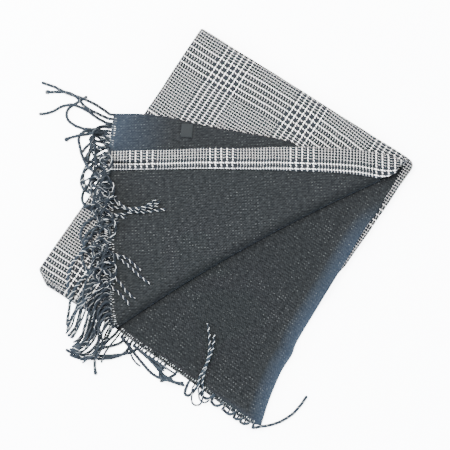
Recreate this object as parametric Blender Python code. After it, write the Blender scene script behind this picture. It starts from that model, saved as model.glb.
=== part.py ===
"""Blanket scarf, folded and lying flat: one double-faced cloth with twisted fringe.

Metres, +Z up. The right front corner of the upper leaves is turned back, so the
dark face shows below a diagonal fold and the check face above it.
"""

import math

import bmesh
import bpy
from mathutils import Matrix, Vector
from mathutils.bvhtree import BVHTree

# Cloth and how it is layered
CLOTH = 0.0014                # one leaf
SEAM = 0.0003                 # gap where two pieces touch
LEAF_EDGE = 0.0013            # how far a leaf's folded edge rounds back
LEDGE_RISE = 0.0001           # the slab's first ring lies this far above the base,
LEDGE_TUCK = 0.0004           # and this far inside its own edge
CORNER_STEPS = 3              # steps round a corner of the outline
CURVE_STEPS = 24              # steps between two points of a smooth curve

# Corners of the folded stack in plan, counter-clockwise: x, y, corner radius, the side
# that follows and the steps along it
BACK_CORNERS = (
    (-0.0336, 0.2729, 0.0040, "left", 5),
    (-0.1511, 0.0916, 0.0300, "left", 4),
    (-0.2535, -0.0605, 0.0030, "left foot", 1),
    (-0.2444, -0.0812, 0.0030, "front left", 5),
)
FRONT_CORNERS = (
    (-0.1500, -0.1410, 0.0040, "front", 8),       # foot of the diagonal fold
    (0.0465, -0.2722, 0.0050, "rolled", 2),
    (0.0583, -0.2380, 0.0100, "rolled", 2),
    (0.0790, -0.1905, 0.0100, "rolled", 2),
    (0.1060, -0.1410, 0.0100, "rolled", 3),
    (0.1520, -0.0690, 0.0150, "sliver", 6),
)
RIGHT_CORNER = (0.2581, 0.0870, 0.0140, "back", 9)
SLAB_RIGHT_CORNER = (0.2527, 0.0893, 0.0080, "back", 9)
SIDES = ("left", "left foot", "front left", "front", "rolled", "sliver", "back")
# Leaves of the stack: bottom, top, then how far each side lies inside the outline
BASE_LEAVES = (
    # low, high, left, left foot, front left, front, rolled, sliver, back
    (0.0000, 0.0033, 0.0020, 0.0020, 0.0010, 0.0120, 0.0048, 0.0015, 0.0012),
    (0.0033, 0.0065, 0.0008, 0.0008, 0.0000, 0.0115, 0.0142, 0.0000, 0.0002),
)
# On the slab, front, rolled and sliver all lie along the diagonal fold
SLAB_LEAVES = (
    (0.0065, 0.0098, 0.0018, 0.0018, 0.0035, 0.0032, 0.0032, 0.0032, 0.0016),
    (0.0098, 0.0130, 0.0000, 0.0000, 0.0048, 0.0072, 0.0072, 0.0072, 0.0000),
)
# A leaf's rounded edge: share of its height, share of LEAF_EDGE it rounds back
EDGE_PROFILE = ((0.3, 0.0), (0.7, 0.0))

# Diagonal fold of the turned-back leaves
FOLD_FOOT = (-0.1490, -0.1415)
FOLD_HEAD = (0.2087, 0.0619)
FOLD_BOW = 0.0100             # the fold bows away from the front corner
PANEL_ROLL = 0.0070           # how wide its rounded edge is
PANEL_LOW = 0.0091            # the roll's outer edge above the floor

# Lower leaf
LEAF_TOP = 0.0084
LEAF_INSET = 0.0020           # hidden edge behind the fold line
LEAF_HEAD = (0.2380, 0.0800)
LEAF_RIM = 0.0018             # rolled edge where it reaches down past the stack
LEAF_RIM_ON_BASE = 0.0084     # rolled edge where it lies on the stack
LEAF_ROLL = 0.0140
LEAF_PUFF = 0.0018            # the crown beside the roll
LEAF_CROWN = 0.0560           # the crown starts this far inside the right edge,
LEAF_CROWN_FOOT = 0.0280      # and it needs this much room to the fold
LEAF_STEPS = (26, 14)         # points on its two edges, rows between them
LEAF_END_SHARES = (0.0, 0.003, 0.008, 0.016)   # closer rows at the fringed end
LEAF_ACROSS = (6, 5)          # steps over the flat, steps round the roll
LEAF_DROOP = 0.40             # share of its height lost at the fringed end
LEAF_DROOP_LENGTH = 0.0090
RIGHT_EDGE = (
    (0.0474, -0.2727), (0.0583, -0.2380), (0.0745, -0.1995), (0.0893, -0.1755), (0.0996, -0.1514),
    (0.1508, -0.0674), (0.1872, -0.0055), (0.2052, 0.0193), (0.2190, 0.0440), (0.2415, 0.0835),
)
# The leaf's fringed end, from the fold's foot to the front corner
LEAF_END = (
    (-0.1500, -0.1410), (-0.1260, -0.1589), (-0.0447, -0.2160), (0.0095, -0.2559), (0.0330, -0.2700),
    (0.0474, -0.2727),
)
END_REACH = 0.06              # a fringed end's own curve has gone this far inside it
LEAF_OVER_BASE = (0.40, 0.52)  # along that edge, where it climbs onto the stack

# Turned panel, from the strip to the diagonal fold
PANEL_TOP = 0.0147
PANEL_UNDER_STRIP = ((-0.1602, 0.0850), (-0.0217, 0.0880), (0.1003, 0.0860), (0.2060, 0.0730))
# The panel's fringed end, from the strip to the fold's foot
PANEL_END = (
    (-0.1602, 0.0850), (-0.1592, 0.0358), (-0.1574, -0.0330), (-0.1568, -0.1018), (-0.1545, -0.1293),
    (-0.1490, -0.1415),
)
PANEL_STEPS = 15
PANEL_ACROSS = (7, 5)

# Corner flap
FLAP_TOP = 0.0147
SELVEDGE = (
    (-0.1524, 0.1555), (-0.1111, 0.1530), (-0.0894, 0.1503), (-0.0678, 0.1465), (-0.0352, 0.1383),
    (0.0136, 0.1292), (0.0623, 0.1204), (0.0900, 0.1135), (0.1020, 0.1050),
)
FLAP_UNDER_STRIP = ((-0.1614, 0.0930), (-0.0217, 0.0940), (0.1000, 0.0930))
FLAP_DROOP = 0.0085           # how far it sags past the stack's left edge
FLAP_DROOP_START = 0.0050     # the sag starts and ends this far past it
FLAP_DROOP_END = 0.0360
FLAP_ROW_CROWDING = 1.5       # rows lie closer towards the fringed end
FLAP_STEPS = (17, 6)          # along it, across it

# Check strip, a turned edge with a soft rounded section
STRIP_UPPER = (
    (-0.1612, 0.1018), (-0.0850, 0.1032), (-0.0217, 0.1058), (0.0300, 0.1056), (0.0786, 0.1070),
    (0.1545, 0.1057), (0.2005, 0.1005), (0.2400, 0.0896),
)
STRIP_LOWER = ((-0.1602, 0.0757), (-0.0217, 0.0772), (0.1003, 0.0743), (0.1680, 0.0702), (0.2087, 0.0647),
               (0.2290, 0.0710))
STRIP_SEAT = 0.0157           # its edges, lying on flap and panel
STRIP_SEAT_HEAD = 0.0140      # its edges, lying on the stack
STRIP_RISE = 0.0045
STRIP_ROUNDNESS = 0.9         # below 1 the section has fuller shoulders
STRIP_STEPS = (20, 10)        # along it, across it
STRIP_CREASE = 0.0012         # a crease along it at the fringed end
STRIP_CREASE_AT = 0.62
STRIP_CREASE_WIDTH = 0.09
STRIP_CREASE_LENGTH = 0.20    # share of its length
SEAT_DROP_UPPER = (0.66, 0.76)   # share of its length where an edge steps down
SEAT_DROP_LOWER = (0.955, 0.99)

# Label
LABEL_CENTRE = (-0.0531, 0.1300)
LABEL_SIZE = (0.0156, 0.0180)
LABEL_THICKNESS = 0.0010
LABEL_TURN = math.radians(-5.0)

# Fringe
BACKING = 0.0020              # width of the strip that holds the roots
BACKING_END = 0.0006          # it starts this far inside the end line
BEND_CLEAR = 0.6              # it bends with the line where a root is more strands than this away
TURNED_END_TOP = 0.0163       # the backing's top where it holds the strip's end
TURNED_END_PANEL = 0.0700     # from here on it holds the panel's end
STRAND = 0.0026               # width of a strand
STRAND_HEIGHT = 0.0018
LAY_GAP = 0.0006              # air between strands that cross
RISE = 0.7                    # steepest climb of a strand
ROUTE_STEP = 0.0020
ROUTE_ERROR = 0.00030         # how far the drawn strand may cut a bend
ROOT_RUN = 0.0020             # straight out of the backing
ROOT_FREE = 0.0035            # from here on a strand also clears the backings
OWN_RUN = 4 * STRAND          # a strand may lie over itself after this much run
DROP_FROM = 0.1               # height from which the cloth below is looked up

# One row for each strand: place along the end, length, heading, turns of its equal
# arcs in degrees (left is positive), width at the tip
FLAP_STRANDS = (
    # along, length, heading, turns, tip
    (0.0490, 0.040, 195, (-10, 20, 45, 20), 0.8),
    (0.0440, 0.040, 145, (15, 50, 15, 25), 0.8),
    (0.0395, 0.060, 150, (0, 140, -40, 15), 0.8),
    (0.0345, 0.100, 150, (15, 115, 10, 30), 0.8),
    (0.0205, 0.070, 145, (90, 45, -10, 15), 0.8),
    (0.0255, 0.105, 170, (5, -30, -110, -5), 0.8),
    (0.0300, 0.060, 155, (30, 5, 0, 25), 1.5),
    (0.0145, 0.105, 160, (-20, 25, 50, -40), 0.8),
    (0.0080, 0.100, 155, (0, -30, 55, 0), 1.5),
    (0.0020, 0.105, 140, (10, 15, -15, 15), 0.8),
)
TURNED_STRANDS = (
    # hanging down over the stack
    (0.0040, 0.075, 190, (25, 40, 40, 30), 0.8),
    (0.0100, 0.085, 200, (10, 50, 60, 50), 0.8),
    (0.0165, 0.065, 205, (20, 60, 90, 60), 0.8),
    (0.0230, 0.070, 195, (30, 60, 60, 60), 0.8),
    (0.0360, 0.085, 190, (25, 45, 75, 90), 0.8),
    (0.0870, 0.090, 190, (20, 50, 75, 80), 0.8),
    (0.1000, 0.085, 200, (10, 60, 60, 70), 0.8),
    (0.1070, 0.090, 185, (40, 30, 40, 80), 0.8),
    (0.1300, 0.105, 190, (10, 40, 30, 10), 0.8),
    (0.1570, 0.105, 195, (20, 25, 20, 5), 0.8),
    (0.1655, 0.100, 200, (25, 25, -10, 20), 0.8),
    (0.1730, 0.100, 190, (40, 25, 0, -35), 0.8),
    (0.1860, 0.095, 222, (15, 15, 5, -50), 0.8),
    (0.1935, 0.092, 225, (15, 15, -5, -60), 0.8),
    (0.2020, 0.088, 232, (10, 15, -20, -50), 0.8),
    (0.2100, 0.083, 235, (12, 0, -25, -45), 0.8),
    (0.2180, 0.078, 240, (2, -5, -20, -45), 0.8),
    (0.2260, 0.073, 250, (0, -8, -25, -45), 0.8),
    (0.2340, 0.075, 225, (20, 10, 15, 10), 1.3),
    (0.2420, 0.064, 240, (5, -10, -30, -30), 0.8),
    # turned back over the panel
    (0.0790, 0.060, 155, (110, 130, -50, 5), 0.8),
    (0.0715, 0.100, 170, (180, 20, 5, -5), 0.8),
    (0.0610, 0.110, 145, (205, 5, 10, 30), 0.8),
    (0.0540, 0.115, 170, (195, -40, 45, -5), 0.8),
    (0.0450, 0.110, 160, (195, -45, 65, 30), 0.8),
    (0.1490, 0.085, 145, (180, -5, -15, 20), 0.8),
    (0.1390, 0.105, 185, (75, 70, -10, -15), 0.8),
    (0.1220, 0.085, 155, (165, 35, -35, -5), 0.8),
    (0.1140, 0.110, 175, (155, -5, -10, 10), 0.8),
)
LOWER_STRANDS = (
    # small loops under the hem
    (0.2115, 0.013, -45, (20, 30, 45), 0.8),
    (0.2010, 0.013, -45, (20, 30, 45), 0.8),
    (0.1825, 0.020, -20, (-30, 20, 40, 30), 0.8),
    (0.1637, 0.021, -65, (20, 40, 30, 20), 0.8),
    (0.1455, 0.024, -60, (15, 35, 40, 20), 0.8),
    (0.1240, 0.044, 248, (5, 150, 5, 0), 0.8),
    (0.1025, 0.022, 200, (10, 0, -10, -10), 0.8),
    (0.0845, 0.032, 222, (20, 80, 35, 10), 0.8),
    (0.0665, 0.024, -42, (0, 5, 10, 5), 0.8),
    (0.0535, 0.030, -48, (0, 5, 10, 5), 0.8),
    # along the front edge
    (0.0052, 0.050, 222, (0, 10, 0, -10), 0.8),
    (0.0183, 0.040, 238, (-35, -12, 8, 25), 0.8),
    (0.0290, 0.092, 255, (-55, -20, 0, -30), 0.8),
    (0.0405, 0.100, 215, (-30, -5, -5, -25), 0.8),
    (0.0347, 0.087, -38, (-5, -8, 15, 45), 0.8),
    (0.0142, 0.112, -50, (-3, 5, 30, 5), 0.8),
    (0.2290, 0.090, 5, (8, 16, 20, 12), 0.8),
    # turned up over the lower leaf
    (0.1325, 0.145, -105, (20, 150, 35, -25, 0, 10, 10, 5), 0.8),
    (0.1605, 0.108, 240, (-140, -15, -25, 5, 15, 5), 0.8),
)

COLOURS = {
    "check": (0.27, 0.26, 0.25, 1.0),
    "dark": (0.044, 0.051, 0.061, 1.0),
    "label": (0.008, 0.009, 0.010, 1.0),
    "fringe": (0.060, 0.072, 0.090, 1.0),
}
CLOTH_ROUGHNESS = 0.9


def clear_scene():
    for item in list(bpy.data.objects):
        bpy.data.objects.remove(item, do_unlink=True)


def cloth_material(name, colour):
    material = bpy.data.materials.new(name)
    material.use_nodes = True
    shader = material.node_tree.nodes["Principled BSDF"]
    shader.inputs["Base Color"].default_value = COLOURS[colour]
    shader.inputs["Roughness"].default_value = CLOTH_ROUGHNESS
    shader.inputs["Metallic"].default_value = 0.0
    return material


def add_object(name, bm, colour):
    mesh = bpy.data.meshes.new(name)
    bm.to_mesh(mesh)
    bm.free()
    mesh.materials.append(cloth_material(name, colour))
    item = bpy.data.objects.new(name, mesh)
    bpy.context.scene.collection.objects.link(item)
    return item


def ease(value, low, high):
    share = min(max((value - low) / (high - low), 0.0), 1.0)
    return share * share * (3.0 - 2.0 * share)


def smooth_curve(points, count):
    """Evenly spaced points on a smooth curve through the given ones."""
    nodes = [Vector(p).to_2d() for p in points]
    nodes = [2 * nodes[0] - nodes[1]] + nodes + [2 * nodes[-1] - nodes[-2]]
    fine = []
    for a, b, c, d in zip(nodes, nodes[1:], nodes[2:], nodes[3:]):
        for step in range(CURVE_STEPS):
            t = step / CURVE_STEPS
            fine.append(0.5 * (2 * b + (c - a) * t + (2 * a - 5 * b + 4 * c - d) * t * t
                               + (3 * b - a - 3 * c + d) * t ** 3))
    fine.append(nodes[-2])
    return spaced(fine, count)


def spaced(line, count):
    lengths = [0.0]
    for a, b in zip(line, line[1:]):
        lengths.append(lengths[-1] + (b - a).length)
    result = []
    k = 0
    for i in range(count):
        target = lengths[-1] * i / (count - 1)
        while k < len(line) - 2 and lengths[k + 1] < target:
            k += 1
        span = max(lengths[k + 1] - lengths[k], 1e-9)
        result.append(line[k].lerp(line[k + 1], (target - lengths[k]) / span))
    return result


def bowed(start, end, bow, count):
    """Points from start to end that bow to the left of the way."""
    a, b = Vector(start), Vector(end)
    left = Vector((a.y - b.y, b.x - a.x)).normalized()
    return [a.lerp(b, i / (count - 1)) + left * bow * 4 * i * (count - 1 - i) / (count - 1) ** 2
            for i in range(count)]


def fold_line(count):
    return bowed(FOLD_FOOT, FOLD_HEAD, FOLD_BOW, count)


def outline_loop(corners):
    """Rounded outline as (point, side before, side after, share of the side after)."""
    loop = []
    total = len(corners)
    for i, (x, y, radius, side, steps) in enumerate(corners):
        here = Vector((x, y))
        before = Vector(corners[i - 1][:2])
        after = Vector(corners[(i + 1) % total][:2])
        enter = here + (before - here).normalized() * radius
        leave = here + (after - here).normalized() * radius
        for step in range(CORNER_STEPS + 1):
            t = step / CORNER_STEPS
            point = enter * (1 - t) ** 2 + here * 2 * t * (1 - t) + leave * t * t
            loop.append((point, corners[i - 1][3], side, t))
        arrive = after + (here - after).normalized() * corners[(i + 1) % total][2]
        for step in range(1, steps):
            loop.append((leave.lerp(arrive, step / steps), side, side, 0.0))
    return loop


def slab_corners():
    """The base's corners, with those in front moved onto the diagonal fold."""
    fold = fold_line(len(FRONT_CORNERS) + 1)
    front = [(p.x, p.y, *corner[2:]) for p, corner in zip(fold, FRONT_CORNERS)]
    return (*BACK_CORNERS, *front, SLAB_RIGHT_CORNER)


def ring(loop, insets, extra, z):
    """The outline drawn in by each side's inset, at height z."""
    points = [entry[0] for entry in loop]
    result = []
    for k, (point, before, after, share) in enumerate(loop):
        way = (points[(k + 1) % len(points)] - points[k - 1]).normalized()
        inset = insets[before] * (1 - share) + insets[after] * share + extra
        result.append(Vector((point.x - way.y * inset, point.y + way.x * inset, z)))
    return result


def stack_rings():
    base = outline_loop((*BACK_CORNERS, *FRONT_CORNERS, RIGHT_CORNER))
    slab = outline_loop(slab_corners())
    rings = []
    for loop, leaves in ((base, BASE_LEAVES), (slab, SLAB_LEAVES)):
        below = None
        for low, high, *widths in leaves:
            insets = dict(zip(SIDES, widths))
            if below:
                tucked = {side: max(insets[side], below[side]) for side in SIDES}
                rings.append(ring(loop, tucked, LEAF_EDGE, low))
            elif loop is slab:
                rings.append(ring(loop, insets, LEAF_EDGE + LEDGE_TUCK, low + LEDGE_RISE))
            else:
                rings.append(ring(loop, insets, LEAF_EDGE, low))
            for share, back in EDGE_PROFILE:
                rings.append(ring(loop, insets, LEAF_EDGE * back, low + (high - low) * share))
            below = insets
        rings.append(ring(loop, insets, LEAF_EDGE, high))
    return rings


def loft(bm, rings):
    """Skin closed rings of points, one after another, and cap both ends."""
    loops = [[bm.verts.new(point) for point in points] for points in rings]
    for below, above in zip(loops, loops[1:]):
        for k in range(len(below)):
            bm.faces.new((below[k - 1], below[k], above[k], above[k - 1]))
    bm.faces.new(loops[-1])
    bm.faces.new(reversed(loops[0]))


def folded_stack():
    bm = bmesh.new()
    loft(bm, stack_rings())
    return add_object("folded_stack", bm, "check")


def wall(name, rows, colour):
    """A cloth wall below the given rows of points on its upper face."""
    across, along = len(rows[0]) - 1, len(rows) - 1
    bm = bmesh.new()
    bmesh.ops.create_grid(bm, x_segments=across, y_segments=along, size=0.5)
    for vert in bm.verts:
        i = round((vert.co.y + 0.5) * along)
        j = round((vert.co.x + 0.5) * across)
        vert.co = rows[i][j]
    bm.normal_update()
    if sum(face.normal.z for face in bm.faces) < 0:
        bmesh.ops.reverse_faces(bm, faces=bm.faces)
    item = add_object(name, bm, colour)
    solidify = item.modifiers.new("Cloth", "SOLIDIFY")
    solidify.thickness = CLOTH
    solidify.offset = -1.0
    solidify.use_even_offset = True
    solidify.use_rim = True
    return item


def roll_section(width, roll, flat_steps, roll_steps):
    """Across a panel: distance from its first edge, and how far round the roll."""
    roll = min(roll, 0.45 * width)
    flat = [((width - roll) * k / flat_steps, 0.0) for k in range(flat_steps)]
    turned = []
    for k in range(roll_steps + 1):
        angle = math.radians(90) * k / roll_steps
        turned.append((width - roll + roll * math.sin(angle), angle))
    return flat + turned


def leaf_rows():
    points, count = LEAF_STEPS
    way = (Vector(FOLD_HEAD) - Vector(FOLD_FOOT)).normalized()
    inner = [p + Vector((-way.y, way.x)) * LEAF_INSET for p in fold_line(points)]
    inner = spaced(inner + [Vector(LEAF_HEAD)], points)
    outer = smooth_curve(RIGHT_EDGE, points)
    inner_length = sum((b - a).length for a, b in zip(inner, inner[1:]))
    rows = []
    for share in (*LEAF_END_SHARES, *(k / count for k in range(1, count + 1))):
        a, b = at_share(inner, share), at_share(outer, share)
        width = (b - a).length
        over = ease(share, *LEAF_OVER_BASE)
        rim = LEAF_RIM * (1 - over) + LEAF_RIM_ON_BASE * over
        crown = LEAF_PUFF * min(1.0, width / LEAF_CROWN)
        droop = LEAF_DROOP * (1 - ease(share * inner_length, 0.0, LEAF_DROOP_LENGTH))
        near_end = 1 - ease(share * inner_length, 0.0, END_REACH)
        row = []
        for distance, angle in roll_section(width, LEAF_ROLL, *LEAF_ACROSS):
            rise = crown * ease(distance, width - LEAF_CROWN, width - LEAF_ROLL)
            rise *= ease(distance, 0.0, LEAF_CROWN_FOOT)
            z = rim + (LEAF_TOP + rise - rim) * math.cos(angle)
            z = LEAF_RIM + (z - LEAF_RIM) * (1 - droop)
            point = a.lerp(b, distance / width) + end_offset(LEAF_END, distance / width) * near_end
            row.append(Vector((point.x, point.y, z)))
        rows.append(row)
    return rows


def end_offset(end, share):
    """How far a fringed end's curve lies from the straight line between its ends."""
    return at_share(smooth_curve(end, CURVE_STEPS), share) - Vector(end[0]).lerp(Vector(end[-1]), share)


def at_share(line, share):
    place = share * (len(line) - 1)
    k = min(int(place), len(line) - 2)
    return line[k].lerp(line[k + 1], place - k)


def panel_rows():
    upper, fold = smooth_curve(PANEL_UNDER_STRIP, PANEL_STEPS), fold_line(PANEL_STEPS)
    rows = []
    for a, b in zip(upper, fold):
        width = (b - a).length
        near_end = 1 - ease((a - upper[0]).length, 0.0, END_REACH)
        row = []
        for distance, angle in roll_section(width, PANEL_ROLL, *PANEL_ACROSS):
            point = a.lerp(b, distance / width) + end_offset(PANEL_END, distance / width) * near_end
            z = PANEL_LOW + (PANEL_TOP - PANEL_LOW) * math.cos(angle)
            row.append(Vector((point.x, point.y, z)))
        rows.append(row)
    return rows


def flap_sag(x, y):
    """How far the flap hangs at a point, by its distance past the stack's left edge."""
    a, b = Vector(BACK_CORNERS[0][:2]), Vector(BACK_CORNERS[1][:2])
    way = (b - a).normalized()
    past = (Vector((x, y)) - a).dot(Vector((way.y, -way.x)))
    return FLAP_DROOP * ease(past, FLAP_DROOP_START, FLAP_DROOP_END)


def flap_point(x, y, above=0.0):
    return Vector((x, y, FLAP_TOP - flap_sag(x, y) + above))


def flap_rows():
    steps, across = FLAP_STEPS
    edge, hidden = smooth_curve(SELVEDGE, steps + 1), smooth_curve(FLAP_UNDER_STRIP, steps + 1)
    rows = []
    for i in range(steps + 1):
        share = (i / steps) ** FLAP_ROW_CROWDING
        a, b = at_share(edge, share), at_share(hidden, share)
        rows.append([flap_point(*a.lerp(b, k / across)) for k in range(across + 1)])
    return rows


def strip_rows():
    steps, across = STRIP_STEPS
    upper, lower = smooth_curve(STRIP_UPPER, steps + 1), smooth_curve(STRIP_LOWER, steps + 1)
    seat_drop = STRIP_SEAT - STRIP_SEAT_HEAD
    rows = []
    for i, (a, b) in enumerate(zip(upper, lower)):
        along = i / steps
        seat_a = STRIP_SEAT - seat_drop * ease(along, *SEAT_DROP_UPPER)
        seat_b = STRIP_SEAT - seat_drop * ease(along, *SEAT_DROP_LOWER)
        crease = STRIP_CREASE * (1 - ease(along, 0.0, STRIP_CREASE_LENGTH))
        row = []
        for k in range(across + 1):
            angle = math.radians(180) * k / across
            share = 0.5 - 0.5 * math.cos(angle)
            z = seat_a + (seat_b - seat_a) * share + STRIP_RISE * math.sin(angle) ** STRIP_ROUNDNESS
            z -= crease * math.exp(-((share - STRIP_CREASE_AT) / STRIP_CREASE_WIDTH) ** 2)
            point = a.lerp(b, share)
            row.append(Vector((point.x, point.y, z)))
        rows.append(row)
    return rows


def label():
    """The tab lies on the flap, made from the flap's own height."""
    bm = bmesh.new()
    bmesh.ops.create_cube(bm, size=1.0)
    turn = Matrix.Rotation(LABEL_TURN, 2)
    for vert in bm.verts:
        place = Vector(LABEL_CENTRE) + turn @ Vector((vert.co.x * LABEL_SIZE[0], vert.co.y * LABEL_SIZE[1]))
        above = SEAM + (LABEL_THICKNESS if vert.co.z > 0 else 0.0)
        vert.co = flap_point(place.x, place.y, above)
    return add_object("label", bm, "label")


class FringedEnd:
    """The edge line of one fringed end, with the backing strip that holds its roots."""

    def __init__(self, name, line, strands):
        self.name = name
        self.strands = strands
        self.line = line
        self.lengths = [0.0]
        for a, b in zip(line, line[1:]):
            self.lengths.append(self.lengths[-1] + (b - a).to_2d().length)
        self.bm = bmesh.new()
        self.build_backing()

    def station(self, along):
        """Point on the edge, the way along it and the way out of it."""
        k = 0
        while k < len(self.line) - 2 and self.lengths[k + 1] < along:
            k += 1
        share = (along - self.lengths[k]) / (self.lengths[k + 1] - self.lengths[k])
        point = self.line[k].lerp(self.line[k + 1], share)
        way = (self.line[k + 1] - self.line[k]).to_2d().normalized()
        return point, way, Vector((way.y, -way.x))

    def section(self, along):
        point, _, out = self.station(along)
        corners = []
        for reach, drop in ((SEAM, CLOTH), (SEAM, 0.0), (SEAM + BACKING, 0.0), (SEAM + BACKING, CLOTH)):
            corners.append(Vector((point.x + out.x * reach, point.y + out.y * reach, point.z - drop)))
        return corners

    def build_backing(self):
        roots = [row[0] for row in self.strands]
        bends = [along for along in self.lengths[1:-1]
                 if min(abs(along - root) for root in roots) > BEND_CLEAR * STRAND]
        places = {BACKING_END, self.lengths[-1] - BACKING_END, *bends}
        for root in roots:
            places.update((root - STRAND / 2, root + STRAND / 2))
        loft(self.bm, [self.section(along) for along in sorted(places)])
        bmesh.ops.recalc_face_normals(self.bm, faces=self.bm.faces)

    def root_face(self, along):
        """The backing's outer face where a strand starts, and its centre."""
        point, _, out = self.station(along)
        centre = Vector((point.x, point.y, point.z - CLOTH / 2))
        centre += Vector((out.x, out.y, 0.0)) * (SEAM + BACKING)
        face = min(self.bm.faces, key=lambda f: (f.calc_center_median() - centre).length)
        return face, centre


def strand_route(end, row):
    """The strand's way in plan, a point every ROUTE_STEP, from its root."""
    along, length, heading, turns, _ = row
    root = end.root_face(along)[1].to_2d()
    out = end.station(along)[2]
    steps = round(ROOT_RUN / ROUTE_STEP)
    points = [root + out * (ROOT_RUN * k / steps) for k in range(steps + 1)]
    angle = math.radians(heading)
    per_arc = round(length / len(turns) / ROUTE_STEP)
    stride = length / len(turns) / per_arc
    for turn in turns:
        for _ in range(per_arc):
            angle += math.radians(turn) / per_arc / 2
            points.append(points[-1] + Vector((math.cos(angle), math.sin(angle))) * stride)
            angle += math.radians(turn) / per_arc / 2
    return points


class Pile:
    """What strands lie on: the cloth, the backings and the strands laid before."""

    def __init__(self, cloth, backings):
        self.cloth = cloth
        self.backings = backings
        self.laid = []

    def surface(self, x, y, with_backings):
        top = 0.0
        for tree in self.cloth + (self.backings if with_backings else []):
            hit = tree.ray_cast(Vector((x, y, DROP_FROM)), Vector((0.0, 0.0, -1.0)))[0]
            if hit is not None:
                top = max(top, hit.z)
        return top

    def bound(self, point, clear):
        """The lowest height of a centre line over one point; clear of backings too."""
        spots = [(0, 0)]
        if clear:
            reach = STRAND / 2
            spots += [(reach, 0), (-reach, 0), (0, reach), (0, -reach)]
        top = max(self.surface(point.x + dx, point.y + dy, clear) for dx, dy in spots)
        low = top + STRAND_HEIGHT / 2 + LAY_GAP
        for other, z in self.laid:
            if (other - point).length < STRAND + LAY_GAP:
                low = max(low, z + STRAND_HEIGHT + LAY_GAP)
        return low

    def lay(self, points, root_z):
        """Heights of the strand's centre line: clear of all below it, climbing gently."""
        distances = [0.0]
        for a, b in zip(points, points[1:]):
            distances.append(distances[-1] + (b - a).length)
        bounds = [root_z]
        for point, distance in zip(points[1:], distances[1:]):
            bounds.append(self.bound(point, distance > ROOT_FREE))
        heights = [max(b - RISE * abs(distance - d) for b, d in zip(bounds, distances))
                   for distance in distances]
        for k, point in enumerate(points):
            for j in range(k):
                over_itself = (point - points[j]).length < STRAND + LAY_GAP
                if distances[k] - distances[j] > OWN_RUN and over_itself:
                    lift = heights[j] + STRAND_HEIGHT + LAY_GAP
                    if lift > heights[k]:
                        for m in range(j + 1, len(points)):
                            raised = lift - RISE * abs(distances[m] - distances[k])
                            heights[m] = max(heights[m], raised)
        self.laid.extend(zip(points, heights))
        return heights


def thinned(points, error):
    """Leave out points that a straight run passes within the allowed error."""
    if len(points) < 3:
        return points
    a, b = points[0], points[-1]
    line = b - a
    worst, worst_gap = 0, 0.0
    for k in range(1, len(points) - 1):
        share = min(max((points[k] - a).dot(line) / line.length_squared, 0.0), 1.0)
        gap = (points[k] - a - line * share).length
        if gap > worst_gap:
            worst, worst_gap = k, gap
    if worst_gap <= error:
        return [a, b]
    return thinned(points[:worst + 1], error)[:-1] + thinned(points[worst:], error)


def grow_strand(end, row, centre_line):
    """Extrude the strand from its root face along the centre line."""
    along, tip = row[0], row[-1]
    face, centre = end.root_face(along)
    way = end.station(along)[1]
    signs = [(1 if (vert.co - centre).to_2d().dot(way) > 0 else -1, 1 if vert.co.z > centre.z else -1)
             for vert in face.verts]
    last = len(centre_line) - 1
    for k in range(1, last + 1):
        ahead = centre_line[min(k + 1, last)]
        step = (centre_line[k] - centre_line[k - 1]).to_2d().normalized()
        if k < last:
            step = (step + (ahead - centre_line[k]).to_2d().normalized()).normalized()
        side = Vector((-step.y, step.x, 0.0))
        size = tip if k == last else 1.0
        made = bmesh.ops.extrude_discrete_faces(end.bm, faces=[face])["faces"][0]
        for vert, (across, up) in zip(made.verts, signs):
            vert.co = centre_line[k] + side * across * size * STRAND / 2
            vert.co.z += up * min(size, 1.0) * STRAND_HEIGHT / 2
        face = made


def turned_end_line(panel):
    """The fringed end of the strip, then of the panel."""
    line = [Vector((*point, TURNED_END_TOP)) for point in (STRIP_UPPER[0], STRIP_LOWER[0])]
    flat = [point for point in panel[0] if point.z > PANEL_TOP - SEAM]
    return line + [point for point in flat if point.y < TURNED_END_PANEL]


def cloth_trees(items):
    graph = bpy.context.evaluated_depsgraph_get()
    return [BVHTree.FromObject(item, graph) for item in items]


def build_cloth():
    leaf, panel, flap, strip = leaf_rows(), panel_rows(), flap_rows(), strip_rows()
    items = [
        folded_stack(),
        wall("lower_leaf", leaf, "dark"),
        wall("turned_panel", panel, "dark"),
        wall("corner_flap", flap, "dark"),
        wall("check_strip", strip, "check"),
        label(),
    ]
    ends = [
        FringedEnd("fringe_lower", leaf[0], LOWER_STRANDS),
        FringedEnd("fringe_turned", turned_end_line(panel), TURNED_STRANDS),
        FringedEnd("fringe_flap", flap[0], FLAP_STRANDS),
    ]
    return items, ends


def build_fringe(items, ends):
    pile = Pile(cloth_trees(items), [BVHTree.FromBMesh(end.bm) for end in ends])
    made = []
    for end in ends:
        routes = []
        for row in end.strands:
            plan = strand_route(end, row)
            heights = pile.lay(plan, end.root_face(row[0])[1].z)
            line = [Vector((p.x, p.y, z)) for p, z in zip(plan, heights)]
            routes.append((row, thinned(line, ROUTE_ERROR)))
        for row, line in routes:
            grow_strand(end, row, line)
        made.append(add_object(end.name, end.bm, "fringe"))
    return made


def centre_on_floor(items):
    """Parent every piece to an empty that puts the box's bottom centre at the origin."""
    graph = bpy.context.evaluated_depsgraph_get()
    points = [item.matrix_world @ vert.co for item in items
              for vert in item.evaluated_get(graph).data.vertices]
    low = Vector([min(p[axis] for p in points) for axis in range(3)])
    high = Vector([max(p[axis] for p in points) for axis in range(3)])
    scarf = bpy.data.objects.new("scarf", None)
    bpy.context.scene.collection.objects.link(scarf)
    scarf.location = (-(low.x + high.x) / 2, -(low.y + high.y) / 2, -low.z)
    for item in items:
        item.parent = scarf


def main():
    clear_scene()
    items, ends = build_cloth()
    fringe = build_fringe(items, ends)
    centre_on_floor(items + fringe)


main()
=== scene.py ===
import math
import random

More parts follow.
